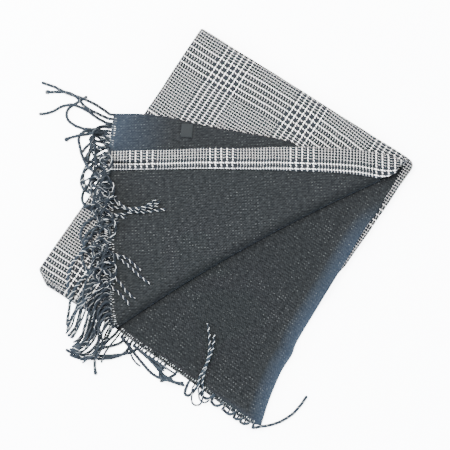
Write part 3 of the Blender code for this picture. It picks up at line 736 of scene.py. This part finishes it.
def lowerRows():
    points, count, flat, turned = lower["steps"]
    way = (Vector(foldLine["head"]) - Vector(foldLine["foot"])).normalized()
    inner = [p + Vector((-way.y, way.x)) * lower["inset"] for p in diagonalFold(points)]
    inner = spaced(inner + [Vector(lower["head"])], points)
    outer = flatCurve(lower["rightEdge"], points)
    innerLength = walked(inner)[-1]
    endBow = endOffsets(lower["end"])
    rows = []
    for k in range(count + 1):
        share = (k / count) ** lower["crowding"]
        a, b = atShare(inner, share), atShare(outer, share)
        width = (b - a).length
        rim = between(*lower["rim"], ease(share, *lower["onStack"]))
        crown = lower["puff"] * min(1.0, width / lower["crown"][0])
        droop = lower["droop"] * (1 - ease(share * innerLength, 0.0, lower["droopLength"]))
        nearEnd = 1 - ease(share * innerLength, 0.0, lower["endReach"])
        row = []
        for distance, angle in rollSection(width, lower["roll"], flat, turned):
            point = a.lerp(b, distance / width) + atShare(endBow, distance / width) * nearEnd
            rise = crown * ease(distance, width - lower["crown"][0], width - lower["roll"])
            rise *= ease(distance, 0.0, lower["crown"][1])
            calm = ease(share * innerLength, 0.0, lower["calm"]) * ease(distance, 0.0, lower["calm"])
            top = lower["top"] + rise + calm * rippled(lower, point.x, point.y)
            z = rim + (max(top, lower["top"] - cloth["slack"]) - rim) * math.cos(angle)
            row.append(raised(point, between(lower["rim"][0], z, 1 - droop)))
        rows.append(row)
    return rows


# a chart that runs on round a roll: across from the row's first point, along from row to row
def runChart(rows, plot):
    chart = []
    for row in rows:
        line = [plot(row[0].x, row[0].y)]
        way = Vector(plot(row[-1].x, row[-1].y)) - Vector(line[0])
        way.normalize()
        for a, b in zip(row, row[1:]):
            line.append(tuple(Vector(line[-1]) + way * (b - a).length))
        chart.append(line)
    return chart


# painted light and shade on the lower leaf: cool side light along its rolled edge and fringed end, shade out
# from the fold; its tone makes the whole leaf darker
def lowerTones(rows):
    tones = []
    for row, distance in zip(rows, walked([row[-1] for row in rows])):
        line = []
        for j, point in enumerate(row):
            edgeCool = 1 - ease(planDistance(row[-1], point), 0.0, lower["coolEdge"])
            edgeCool *= 1 - ease(distance, *lower["coolRun"])
            endCool = 1 - ease((rows[0][j] - point).length, 0.0, lower["coolEnd"])
            endCool *= lower["coolEndShare"] * ease(j / len(row), *lower["coolEndSpan"])
            shade = 1 - ease(planDistance(row[0], point), 0.0, lower["foldShade"])
            line.append(between(between(lower["tone"], -1.0, shade), 1.0, max(edgeCool, endCool)))
        tones.append(line)
    return tones


# The turned-back panel, from the check strip to the diagonal fold
panel = {
    "top": 0.0147,
    "low": 0.0091,
    "roll": 0.0115,
    "foldShade": 0.017,  # how far in from the fold its shade reaches
    "underStrip": ((-0.1602, 0.085), (-0.0217, 0.088), (0.1003, 0.086), (0.206, 0.073)),
    "end": ((-0.1602, 0.085), (-0.1592, 0.0358), (-0.1574, -0.033), (-0.1568, -0.1018), (-0.1545, -0.1293),
            (-0.149, -0.1415)),
    "endReach": 0.06,
    "steps": (110, 46, 10),
    "calmEnd": (-0.16, -0.135),
    "calm": 0.02,
    "wave": (0.05, 0.0004),
    "endDip": 0.0006,  # strands stop where the end has rolled down this far
    "tilt": math.radians(3.3),  # its threads against the plan's axes
    "creases": (
        (-0.1, 0.01, 0.12, 0.062, 0.013, 0.0007),
        (-0.155, -0.03, -0.08, -0.062, 0.01, -0.0006),
        (-0.06, -0.03, 0.05, 0.02, 0.011, -0.0005),
        (-0.15, 0.05, -0.06, 0.06, 0.01, -0.0004),
        (-0.13, -0.085, -0.075, -0.08, 0.009, 0.0005),
    ),
}


def turnedChart(x, y):
    cos, sin = math.cos(panel["tilt"]), math.sin(panel["tilt"])
    return x * cos + y * sin, x * sin - y * cos


def panelRows():
    along, flat, turned = panel["steps"]
    upper, fold = flatCurve(panel["underStrip"], along + 1), diagonalFold(along + 1)
    endBow = endOffsets(panel["end"])
    rows = []
    for a, b in zip(upper, fold):
        width = (b - a).length
        nearEnd = 1 - ease((a - upper[0]).length, 0.0, panel["endReach"])
        row = []
        for distance, angle in rollSection(width, panel["roll"], flat, turned):
            point = a.lerp(b, distance / width) + atShare(endBow, distance / width) * nearEnd
            calm = ease(distance, 0.0, panel["calm"]) * ease(width - distance, 0.0, panel["calm"])
            calm *= ease(point.x, *panel["calmEnd"])
            top = panel["top"] + max(calm * rippled(panel, point.x, point.y), -cloth["slack"])
            row.append(raised(point, panel["low"] + (top - panel["low"]) * math.cos(angle)))
        rows.append(row)
    return rows


# painted shade along the diagonal fold, reaching in from its edge
def panelTones(rows):
    reaches = [min(panel["foldShade"], planDistance(row[-1], row[0])) for row in rows]
    return [[ease(planDistance(row[-1], point), 0.0, reach) - 1 for point in row]
            for row, reach in zip(rows, reaches)]


# The corner flap, which sags past the stack's left edge
flap = {
    "top": 0.0147,
    "selvedge": ((-0.1524, 0.1555), (-0.1111, 0.153), (-0.0894, 0.1503), (-0.0678, 0.1465),
                 (-0.0352, 0.1383), (0.0136, 0.1292), (0.0623, 0.1204), (0.09, 0.1135), (0.102, 0.105)),
    "underStrip": ((-0.1614, 0.093), (-0.0217, 0.094), (0.1, 0.093)),
    "droop": 0.0085,
    "droopRun": (0.005, 0.036),
    "crowding": 1.5,
    "steps": (110, 30),
    "wave": (0.045, 0.0003),
    "coolRun": (-0.16, -0.05),
    "paintedSideLight": (0.7, 0.8),  # its painted cool side light at the fringed end, and how far this falls
    "creases": (
        (-0.12, 0.15, -0.09, 0.1, 0.008, 0.0006),
        (-0.06, 0.135, -0.05, 0.1, 0.008, -0.0003),
        (-0.01, 0.122, 0.0, 0.1, 0.007, 0.0004),
    ),
}


def flapHeight(x, y):
    a, b = Vector(stack["back"][0][:2]), Vector(stack["back"][1][:2])
    way = (b - a).normalized()
    past = (Vector((x, y)) - a).dot(Vector((way.y, -way.x)))
    lift = max(rippled(flap, x, y), -cloth["slack"])
    return flap["top"] - flap["droop"] * ease(past, *flap["droopRun"]) + lift


def flapRows():
    along, across = flap["steps"]
    edge, hidden = flatCurve(flap["selvedge"], along + 1), flatCurve(flap["underStrip"], along + 1)
    rows = []
    for k in range(along + 1):
        share = (k / along) ** flap["crowding"]
        a, b = atShare(edge, share), atShare(hidden, share)
        points = [a.lerp(b, j / across) for j in range(across + 1)]
        rows.append([raised(p, flapHeight(p.x, p.y)) for p in points])
    return rows


# The check strip, a turned edge that shows the check face
strip = {
    "upper": ((-0.1612, 0.1018), (-0.085, 0.1032), (-0.0217, 0.1058), (0.03, 0.1056), (0.0786, 0.107),
              (0.1545, 0.1057), (0.2005, 0.1005), (0.24, 0.0896)),
    "lower": ((-0.1602, 0.0757), (-0.0217, 0.0772), (0.1003, 0.0743), (0.168, 0.0702), (0.2087, 0.0647),
              (0.229, 0.071)),
    "seat": 0.0157,
    "seatHead": 0.014,
    "rise": 0.0045,
    "roundness": 0.9,
    "crease": 0.0026,
    "creaseAt": 0.66,
    "creaseWidth": 0.09,
    "creaseLength": 0.2,
    "creaseWaver": (0.012, 0.05),  # size and height
    "dropUpper": (0.66, 0.76),
    "dropLower": (0.955, 0.99),
    "bands": (0.2439, 0.1247, 0.0149, -0.0935, -0.202),  # where each repeat starts, from the right
    "bandAcross": 0.52,  # share of its width where the wide rows start
    "wave": (0.03, 0.0004),
    "steps": (180, 36),
}


# how far a place across the strip lies from its wavering crease, in half widths
def creaseDistance(x, share):
    return (share - strip["creaseAt"] - uneven(x, 0.0, *strip["creaseWaver"])) / strip["creaseWidth"]


# painted shade along the strip's crease near its fringed end
def stripTones():
    along, across = strip["steps"]
    tones = []
    for k, start in enumerate(flatCurve(strip["upper"], along + 1)):
        depth = 1 - ease(k / along, 0.0, strip["creaseLength"])
        shares = [0.5 - 0.5 * math.cos(math.pi * j / across) for j in range(across + 1)]
        tones.append([-depth * math.exp(-creaseDistance(start.x, share) ** 2) for share in shares])
    return tones


def stripRows():
    along, across = strip["steps"]
    upper, lowerEdge = flatCurve(strip["upper"], along + 1), flatCurve(strip["lower"], along + 1)
    rows = []
    for k, (a, b) in enumerate(zip(upper, lowerEdge)):
        place = k / along
        seats = [between(strip["seat"], strip["seatHead"], ease(place, *strip[key]))
                 for key in ("dropUpper", "dropLower")]
        crease = strip["crease"] * (1 - ease(place, 0.0, strip["creaseLength"]))
        row = []
        for j in range(across + 1):
            angle = math.pi * j / across
            share = 0.5 - 0.5 * math.cos(angle)
            point = a.lerp(b, share)
            z = between(*seats, share) + strip["rise"] * math.sin(angle) ** strip["roundness"]
            z -= crease * math.exp(-creaseDistance(a.x, share) ** 2)
            z += math.sin(angle) * uneven(point.x, point.y, *strip["wave"])
            row.append(raised(point, z))
        rows.append(row)
    return rows


def stripChart(rows):
    chart = []
    for row in rows:
        lengths = walked(row)
        start = lengths[-1] * strip["bandAcross"]
        chart.append([(length - start, bandPlace(place.x)) for length, place in zip(lengths, row)])
    return chart


def bandPlace(x):
    bands = strip["bands"]
    k = 0
    while k < len(bands) - 2 and x < bands[k + 1]:
        k += 1
    repeats = k + (bands[k] - x) / (bands[k] - bands[k + 1])
    return repeats * check["weftOrder"][0] * cloth["weftPitch"]


# The label: a folded tape sewn down at both ends, its face bare
label = {
    "size": (0.0156, 0.018),
    "thickness": 0.001,
    "turn": math.radians(-5.0),
    "steps": (24, 28),
    "puff": 0.0003,
}


def labelRows():
    across, along = label["steps"]
    turn = Matrix.Rotation(label["turn"], 2)
    rows, chart = [], []
    for i in range(along + 1):
        row, line = [], []
        for j in range(across + 1):
            x, y = (j / across - 0.5) * label["size"][0], (i / along - 0.5) * label["size"][1]
            place = Vector(cloth["labelPlan"]) + turn @ Vector((x, y))
            edge = min(0.5 - abs(j / across - 0.5), 0.5 - abs(i / along - 0.5)) * 2
            above = cloth["seam"] + label["thickness"] + label["puff"] * ease(edge, 0.0, 0.5)
            row.append(raised(place, flapHeight(place.x, place.y) + above))
            line.append((x, y))
        rows.append(row)
        chart.append(line)
    return rows, chart


lowerLine, panelLine, flapLine, stripLines = lowerRows(), panelRows(), flapRows(), stripRows()
stackPiece = foldedStack()
print("folded stack:", len(stackPiece.data.polygons), "faces")
lowerPiece = clothPiece("lowerLeaf", lowerLine, runChart(lowerLine, clothChart), "dark_face", "lower_leaf",
                        lowerTones(lowerLine))
panelPiece = clothPiece("turnedPanel", panelLine, runChart(panelLine, turnedChart), "dark_face",
                        "turned_panel", panelTones(panelLine))
flapChart = [[turnedChart(p.x, p.y) for p in row] for row in flapLine]
# painted cool side light on the flap's fringed end, falling off to the right
flapTones = [[flap["paintedSideLight"][0] - flap["paintedSideLight"][1] * ease(p.x, *flap["coolRun"]) for p in row]
             for row in flapLine]
flapPiece = clothPiece("cornerFlap", flapLine, flapChart, "dark_face", "corner_flap", flapTones)
stripPiece = clothPiece("checkStrip", stripLines, stripChart(stripLines), "check_face", "check_strip",
                        stripTones())
labelPiece = clothPiece("labelTape", *labelRows(), "label", "label", thickness=label["thickness"])
print("cloth: stack, lower leaf, panel, flap, strip, label")


# The fringe: one row for each strand, as in the part. Place along the end and length in
# millimetres, heading, turns of its equal arcs in degrees (left is positive), and for a
# knotted one the width at its tip
fringe = {
    "backing": 0.002,
    "width": 0.0026,
    "height": 0.0018,
    "gap": 0.0006,
    "climb": 0.7,
    "step": 0.002,
    "rootRun": 0.002,
    "rootFree": 0.0035,
    "ownLoop": 4,  # a strand lies over itself from this many of its widths on
    "turnedEndTop": 0.0163,
    "turnedEndPanel": 0.07,
    "flap": (
        (49, 40, 195, (-10, 20, 45, 20)), (44, 40, 145, (15, 50, 15, 25)),
        (39.5, 60, 150, (0, 140, -40, 15)), (34.5, 100, 150, (15, 115, 10, 30)),
        (20.5, 70, 145, (90, 45, -10, 15)), (25.5, 105, 170, (5, -30, -110, -5)),
        (30, 60, 155, (30, 5, 0, 25), 1.5), (14.5, 105, 160, (-20, 25, 50, -40)),
        (8, 100, 155, (0, -30, 55, 0), 1.5), (2, 105, 140, (10, 15, -15, 15)),
    ),
    "turned": (
        # hanging down over the stack
        (4, 75, 190, (25, 40, 40, 30)), (10, 85, 200, (10, 50, 60, 50)), (16.5, 65, 205, (20, 60, 90, 60)),
        (23, 70, 195, (30, 60, 60, 60)), (36, 85, 190, (25, 45, 75, 90)), (87, 90, 190, (20, 50, 75, 80)),
        (100, 85, 200, (10, 60, 60, 70)), (107, 90, 185, (40, 30, 40, 80)),
        (130, 105, 190, (10, 40, 30, 10)), (157, 105, 195, (20, 25, 20, 5)),
        (165.5, 100, 200, (25, 25, -10, 20)), (173, 100, 190, (40, 25, 0, -35)),
        (186, 95, 222, (15, 15, 5, -50)), (193.5, 92, 225, (15, 15, -5, -60)),
        (202, 88, 232, (10, 15, -20, -50)), (210, 83, 235, (12, 0, -25, -45)),
        (218, 78, 240, (2, -5, -20, -45)), (226, 73, 250, (0, -8, -25, -45)),
        (234, 75, 225, (20, 10, 15, 10), 1.3), (242, 64, 240, (5, -10, -30, -30)),
        # turned back over the panel
        (79, 60, 155, (110, 130, -50, 5)), (71.5, 100, 170, (180, 20, 5, -5)),
        (61, 110, 145, (205, 5, 10, 30)), (54, 115, 170, (195, -40, 45, -5)),
        (45, 110, 160, (195, -45, 65, 30)), (149, 85, 145, (180, -5, -15, 20)),
        (139, 105, 185, (75, 70, -10, -15)), (122, 85, 155, (165, 35, -35, -5)),
        (114, 110, 175, (155, -5, -10, 10)),
    ),
    "lower": (
        # small loops under the hem
        (211.5, 13, -45, (20, 30, 45)), (201, 13, -45, (20, 30, 45)), (182.5, 20, -20, (-30, 20, 40, 30)),
        (163.7, 21, -65, (20, 40, 30, 20)), (145.5, 24, -60, (15, 35, 40, 20)),
        (124, 44, 248, (5, 150, 5, 0)), (102.5, 22, 200, (10, 0, -10, -10)),
        (84.5, 32, 222, (20, 80, 35, 10)), (66.5, 24, -42, (0, 5, 10, 5)), (53.5, 30, -48, (0, 5, 10, 5)),
        (5.2, 50, 222, (0, 10, 0, -10)), (18.3, 40, 238, (-35, -12, 8, 25)),
        (29, 92, 255, (-55, -20, 0, -30)), (40.5, 100, 215, (-30, -5, -5, -25)),
        (34.7, 87, -38, (-5, -8, 15, 45)), (14.2, 112, -50, (-3, 5, 30, 5)), (229, 90, 5, (8, 16, 20, 12)),
        # turned up over the lower leaf
        (132.5, 145, -105, (20, 150, 35, -25, 0, 10, 10, 5)), (160.5, 108, 240, (-140, -15, -25, 5, 15, 5)),
    ),
    # turns that several of the finer strands share
    "curls": {
        "hook": (150, 120, 60, -30),
        "coil": (60, 130, 110, 40),
        "backCoil": (-140, -110, -50, 20),
        "ring": (20, 170, 150, 30),
        "backRing": (-60, -150, -90, 30),
    },
    # finer strands between the part's own, in the same terms
    "flapMore": (
        (17.5, 60, 170, (40, 60, -20, 10)), (37, 50, 190, (10, 60, 50, 20)),
        (46.5, 45, 200, (20, 40, 50, 30)), (51, 50, 195, (30, 30, 30, 10)),
    ),
    "turnedMore": (
        (2, 60, 195, "hook"), (7, 65, 190, (60, 50, 20, 10)), (13.5, 75, 205, "coil"),
        (19.5, 60, 165, "backCoil"), (26.5, 70, 200, (40, 30, 60, 60)), (30, 75, 200, "ring"),
        (33, 60, 220, (20, 60, 50, 60)), (40, 70, 175, "backRing"), (42.5, 60, 195, "hook"),
        (48, 75, 190, (60, 30, 40, 30)), (51.5, 60, 205, "coil"), (57.5, 70, 165, "backCoil"),
        (64.5, 65, 190, (50, 60, 60, 20)), (68, 75, 200, "ring"), (75, 60, 185, (60, 70, 50, 30)),
        (83, 75, 175, "backRing"), (91, 70, 195, "hook"), (95, 80, 205, (30, 50, 10, 30)),
        (103.5, 70, 205, "coil"), (110, 75, 165, "backCoil"), (118, 75, 190, (50, 50, 30, 20)),
        (126, 75, 200, "ring"), (134, 75, 215, (10, 50, 50, 30)), (143, 75, 175, "backRing"),
        (146, 75, 195, "hook"), (153, 90, 200, (30, 20, 40, 10)), (161, 75, 205, "coil"),
        (169.5, 75, 165, "backCoil"), (177, 95, 200, (30, 20, 10, -30)),
        (181.5, 90, 215, (15, 20, -5, -20)), (190, 88, 205, (30, 25, -10, -50)),
        (197.5, 85, 220, (15, 20, 0, -30)), (206, 82, 215, (25, 15, -20, -60)),
        (214, 80, 225, (20, 5, -10, -40)), (222, 75, 235, (10, 0, -25, -50)),
        (230, 70, 240, (10, 0, -20, -20)), (238, 60, 235, (10, 0, -30, -30)),
        (180, 90, 235, (-20, 10, 30, -30)), (196, 85, 200, (50, 30, -20, -50)),
        (208, 80, 205, (55, 20, -30, -60)), (216, 75, 210, (50, 30, -30, -50)),
        (224, 75, 215, (40, 20, -40, -40)),
    ),
    "lowerMore": (
        (9.5, 45, 228, (5, 0, 10, 20)), (23.5, 40, -60, (-20, 10, 20, 20)),
        (44.5, 45, -45, (-5, 5, 10, 15)), (48, 30, -50, (10, 10, 0, -10)), (60, 28, -42, (0, 5, 10, 5)),
        (73, 26, -38, (0, 5, 5, 5)), (78.5, 24, -45, (10, 5, 0, 5)), (206, 11, -40, (30, 40, 60)),
        (217, 10, -40, (30, 40, 60)), (191, 13, -40, (20, 40, 60)),
    ),
}
strand = {
    "step": 0.001,
    # radius of each ply and how far its middle lies off the strand's
    "core": (0.0019, 0.00012),
    "pale": (0.00046, 0.00172),
    "flatten": 0.62,
    # girth and twist of a strand over the floor, of a marled one and of a finer one in the tangle
    "plain": (1.1, 0.0095),
    "marled": (0.7, 0.009),
    "fine": (0.74, 0.017),
    "reach": 0.0018,
    # strands lie in cool side light to the left of this, and in front of that
    "coolLeft": (-0.205, -0.165),
    "coolFront": (-0.19, -0.15),
    "sides": 7,
    "sunk": 0.0015,  # how far its root runs into the cloth
    "calm": (0.004, 0.02),  # from here on it wavers
    "waver": (0.007, 0.0004),
    "waverFrom": (0.2, 5.1),  # keeps its wavering the one way apart from the other
    "tip": (0.45, 0.0015),  # share of its girth at the ends, and over what length it fills out
    "root": (0.8, 0.006),
    "nextPhase": 0.7,  # each strand is wound on from the one before, and wavers its own way
    "nextWaver": 0.37,
    "whiteness": (0.95, 0.45, 0.75, 0.55, 0.3, 0.85, 0.4, 0.65),
    "whiteStep": 5,  # the next strand takes the one this far on
    "knot": (0.0042, 0.006),  # a knotted tip is wide up to here, and narrows to here
    "pile": 0.009,  # a finer strand sinks among others above this height over the cloth
}


# point on an end line, and the way out of the cloth there
def station(line, along):
    for a, b in zip(line, line[1:]):
        length = (b - a).to_2d().length
        if along <= length or b is line[-1]:
            way = (b - a).to_2d().normalized()
            return a.lerp(b, along / length), Vector((way.y, -way.x))
        along -= length


# points in the plan of a strand that starts at this place and goes out this way
def strandPlan(start, out, row):
    length, turns = row[1] / 1000, fringe["curls"].get(row[3], row[3])
    root = start.to_2d() + out * (cloth["seam"] + fringe["backing"])
    steps = round(fringe["rootRun"] / fringe["step"])
    points = [root + out * (fringe["rootRun"] * k / steps) for k in range(steps + 1)]
    angle = math.radians(row[2])
    perArc = round(length / len(turns) / fringe["step"])
    stride = length / len(turns) / perArc
    for turn in turns:
        for _ in range(perArc):
            angle += math.radians(turn) / perArc / 2
            points.append(points[-1] + Vector((math.cos(angle), math.sin(angle))) * stride)
            angle += math.radians(turn) / perArc / 2
    return points


graph = bpy.context.evaluated_depsgraph_get()
clothTrees = [BVHTree.FromObject(piece, graph)
              for piece in (stackPiece, lowerPiece, panelPiece, flapPiece, stripPiece, labelPiece)]
laid = []


def groundAt(x, y):
    top, start = 0.0, Vector((x + onPart.x, y + onPart.y, cloth["raysFrom"]))
    for tree in clothTrees:
        hit = tree.ray_cast(start, Vector((0.0, 0.0, -1.0)))[0]
        if hit is not None:
            top = max(top, hit.z)
    return top


# heights of a strand's middle: clear of the cloth and of the strands below it
def laidHeights(points, rootHeight, sinks):
    reach, near = strand["reach"], fringe["width"] + fringe["gap"]
    clear = fringe["height"] + fringe["gap"]
    distances, bounds = walked(points), [rootHeight]
    for point, distance in zip(points[1:], distances[1:]):
        spots = [(0, 0)]
        if distance > fringe["rootFree"]:
            spots += [(reach, 0), (-reach, 0), (0, reach), (0, -reach)]
        ground = max(groundAt(point.x + dx, point.y + dy) for dx, dy in spots)
        low = ground + fringe["height"] / 2 + fringe["gap"]
        limit = low + strand["pile"] if sinks else math.inf
        for other, z in laid:
            if (other - point).length < near:
                low = max(low, min(z + clear, limit))
        bounds.append(low)
    heights = [max(b - fringe["climb"] * abs(distance - d) for b, d in zip(bounds, distances))
               for distance in distances]
    for k, point in enumerate(points):
        for j in range(k):
            apart = distances[k] - distances[j]
            if apart > fringe["ownLoop"] * fringe["width"] and (point - points[j]).length < near:
                lift = heights[j] + clear
                if lift > heights[k]:
                    for m in range(j + 1, len(points)):
                        fall = fringe["climb"] * abs(distances[m] - distances[k])
                        heights[m] = max(heights[m], lift - fall)
    laid.extend(zip(points, heights))
    return heights


# one ply as a tube wound round the strand's line
def addPly(bm, line, ply, kind, phase, tip, whiteness):
    girth, twist = strand[kind]
    radius, off = (girth * value for value in strand[ply])
    steps, sides = len(line) - 1, strand["sides"]
    rows, chart, tones = [], [], []
    for k, point in enumerate(line):
        along, left = k * strand["step"], (steps - k) * strand["step"]
        way = (line[min(k + 1, steps)] - line[max(k - 1, 0)]).normalized()
        side = Vector((-way.y, way.x, 0.0)).normalized()
        up = way.cross(side) * strand["flatten"]
        side *= 1 + (tip - 1) * (1 - ease(left, *strand["knot"]))
        size = 1.0
        for distance, (share, reach) in ((left, strand["tip"]), (along, strand["root"])):
            size *= between(share, 1.0, ease(distance, 0.0, reach))
        turn = 2 * math.pi * along / twist + phase
        middle = point + (side * math.cos(turn) + up * math.sin(turn)) * off * size
        angles = [2 * math.pi * s / sides for s in range(sides + 1)]
        rows.append([middle + (side * math.cos(angle) + up * math.sin(angle)) * radius * size
                     for angle in angles])
        chart.append([(along + phase, s / sides) for s in range(sides + 1)])
        # painted cool side light on strands to the left and in front
        paintedSideLight = max(1 - ease(point.x, *strand["coolLeft"]), 1 - ease(point.y, *strand["coolFront"]))
        tones.append([paintedSideLight] * (sides + 1))
    tube = gridMesh(rows, chart, tones)
    marl = tube.verts.layers.float.new("marl")
    for vert in tube.verts:
        vert[marl] = whiteness
    bmesh.ops.remove_doubles(tube, verts=tube.verts, dist=1e-7)
    bmesh.ops.holes_fill(tube, edges=tube.edges, sides=sides + 2)
    bmesh.ops.recalc_face_normals(tube, faces=tube.faces)
    mesh = meshFrom("ply", tube)
    bm.from_mesh(mesh)
    bpy.data.meshes.remove(mesh)


# the part's strands first, whose last ones are marled white, then finer ones that fill the tangle
def fringePiece(name, node, line, end, marled, flecks):
    bm = bmesh.new()
    count = len(fringe[end])
    for number, row in enumerate((*fringe[end], *fringe[end + "More"])):
        start, out = station(line, row[0] / 1000)
        plan = strandPlan(start, out, row)
        heights = laidHeights(plan, start.z - cloth["thickness"] / 2, number >= count)
        places = [raised(p, z) for p, z in zip(plan, heights)]
        inside = raised(start.to_2d() - out * strand["sunk"], places[0].z)
        smooth = smoothCurve([inside] + places, round(walked(places)[-1] / strand["step"]), steps=4)
        for k, point in enumerate(smooth):
            along = k * strand["step"]
            calm = ease(along, *strand["calm"])
            for axis, first in enumerate(strand["waverFrom"]):
                place = number * strand["nextWaver"] + first
                point[axis] += calm * uneven(along, place, *strand["waver"])
        whiteness = strand["whiteness"][number * strand["whiteStep"] % len(strand["whiteness"])] * flecks
        kind = "plain"
        if number >= count:
            kind = "fine"
        elif number >= count - marled:
            kind = "marled"
            whiteness = 1.0
        tip, phase = row[4] if len(row) > 4 else 1.0, strand["nextPhase"] * number
        addPly(bm, smooth, "core", kind, phase, tip, 0.0)
        addPly(bm, smooth, "pale", kind, phase + math.pi, tip, whiteness)
    piece = addPiece(name, bm, "fringe", [node])
    print(name, len(piece.data.polygons), "faces")
    return piece


# Pale thread ends that stand in rows along a fringed end, a little inside its edge
hem = {
    "long": 0.0031,
    "wide": 0.0009,
    "high": 0.0008,
    "pitch": 0.0031,
    "rows": (0.0009, 0.0045),
    "miss": 0.15,
    "strides": (0.75, 1.3),
    "astray": 0.0007,
    "turn": 0.3,
    "lengths": (0.6, 1.15),
    "widths": (0.8, 1.2),
    "lift": 0.00015,
    "shades": (0.45, 1.0),
}


def hemPiece(name, line, span):
    bm = bmesh.new()
    marl = bm.verts.layers.float.new("marl")
    uvMap = bm.loops.layers.uv.new("cloth")
    rng = random.Random(name)
    for row in hem["rows"]:
        along = span[0]
        while along < span[1]:
            along += hem["pitch"] * rng.uniform(*hem["strides"])
            if along > span[1] or rng.random() < hem["miss"]:
                continue
            point, out = station(line, along)
            place = point.to_2d() - out * (row + rng.uniform(-hem["astray"], hem["astray"]))
            ground = groundAt(place.x, place.y)
            if ground < cloth["thickness"]:
                continue
            turn = math.atan2(out.y, out.x) + rng.uniform(-hem["turn"], hem["turn"])
            long = hem["long"] * rng.uniform(*hem["lengths"])
            size = (long, hem["wide"] * rng.uniform(*hem["widths"]), hem["high"])
            made = bmesh.ops.create_icosphere(bm, subdivisions=2, radius=0.5)["verts"]
            bmesh.ops.scale(bm, verts=made, vec=size)
            bmesh.ops.rotate(bm, verts=made, matrix=Matrix.Rotation(turn, 3, "Z"))
            bmesh.ops.translate(bm, verts=made, vec=(place.x, place.y, ground + hem["lift"]))
            shade = rng.uniform(*hem["shades"])
            for vert in made:
                vert[marl] = shade
    for face in bm.faces:
        for loop in face.loops:
            loop[uvMap].uv = (loop.vert.co.x, loop.vert.co.y)
    return addPiece(name, bm, "fringe", [])


turnedEnd = [Vector((*point, fringe["turnedEndTop"])) for point in (strip["upper"][0], strip["lower"][0])]
turnedEnd += [point for point in panelLine[0]
              if point.z > panel["top"] - panel["endDip"] and point.y < fringe["turnedEndPanel"]]
fringeLower = fringePiece("fringeLower", "fringe_lower", lowerLine[0], "lower", marled=2, flecks=0.7)
fringeTurned = fringePiece("fringeTurned", "fringe_turned", turnedEnd, "turned", marled=9, flecks=1.0)
fringeFlap = fringePiece("fringeFlap", "fringe_flap", flapLine[0], "flap", marled=0, flecks=0.62)
lowerEnd = [point for point in lowerLine[0] if point.z > lower["rim"][0] + lower["endRise"]]
hemLower = hemPiece("hemLower", lowerEnd, span=(0.006, 0.232))
hemTurned = hemPiece("hemTurned", turnedEnd, span=(0.034, 0.244))
hemFlap = hemPiece("hemFlap", flapLine[0], span=(0.004, 0.046))


# Floor, light and camera
studio = {
    "floor": {
        "Base Color": (0.86, 0.86, 0.86, 1.0),
        "Roughness": 0.9,
        "Emission Color": (1.0, 1.0, 1.0, 1.0),
        "Emission Strength": 6.0,
    },
    "floorSize": 4.0,
    "sky": (0.97, 0.98, 1.0, 1.0),
    "skyStrength": 3.9,
    "lights": (
        # name, place, size, power, colour
        ("key", (-0.9, 0.9, 1.9), 1.6, 190.0, (1.0, 0.985, 0.96)),
        ("leftWindow", (-2.2, 0.5, 0.55), 1.3, 230.0, (0.62, 0.8, 1.0)),
        ("rightWindow", (1.9, -1.5, 0.5), 1.3, 230.0, (0.62, 0.8, 1.0)),
    ),
}
camera = {
    "elevation": math.radians(80),
    "distance": 10.0,
    "fieldWidth": 0.60975,
    "sensor": 36.0,
    "clipStart": 0.05,
    "aim": (-0.0014, 0.0026),
}


def addLight(name, place, size, power, colour):
    lamp = bpy.data.lights.new(name, "AREA")
    lamp.shape = "DISK"
    lamp.size = size
    lamp.energy = power
    lamp.color = colour
    item = addObject(name, lamp)
    item.location = place
    item.rotation_euler = (-Vector(place)).to_track_quat("-Z", "Y").to_euler()


def setStudio():
    bm = bmesh.new()
    bmesh.ops.create_grid(bm, x_segments=1, y_segments=1, size=studio["floorSize"])
    floor = addObject("floor", meshFrom("floor", bm))
    material, tree = newMaterial("floorPaper")
    for key, value in studio["floor"].items():
        tree.nodes["Principled BSDF"].inputs[key].default_value = value
    floor.data.materials.append(material)
    world = bpy.data.worlds.new("studio")
    world.use_nodes = True
    sky = world.node_tree.nodes["Background"]
    sky.inputs["Color"].default_value = studio["sky"]
    sky.inputs["Strength"].default_value = studio["skyStrength"]
    bpy.context.scene.world = world
    for row in studio["lights"]:
        addLight(*row)
    lens = bpy.data.cameras.new("camera")
    lens.sensor_width = camera["sensor"]
    lens.lens = camera["sensor"] * camera["distance"] / camera["fieldWidth"]
    lens.clip_start = camera["clipStart"]
    view = addObject("camera", lens)
    aim = onPart + Vector((*camera["aim"], 0.0))
    back = Vector((0.0, -math.cos(camera["elevation"]), math.sin(camera["elevation"])))
    view.location = aim + back * camera["distance"]
    view.rotation_euler = (math.radians(90) - camera["elevation"], 0.0, 0.0)
    bpy.context.scene.camera = view


setStudio()
print("studio: floor, lights, camera")
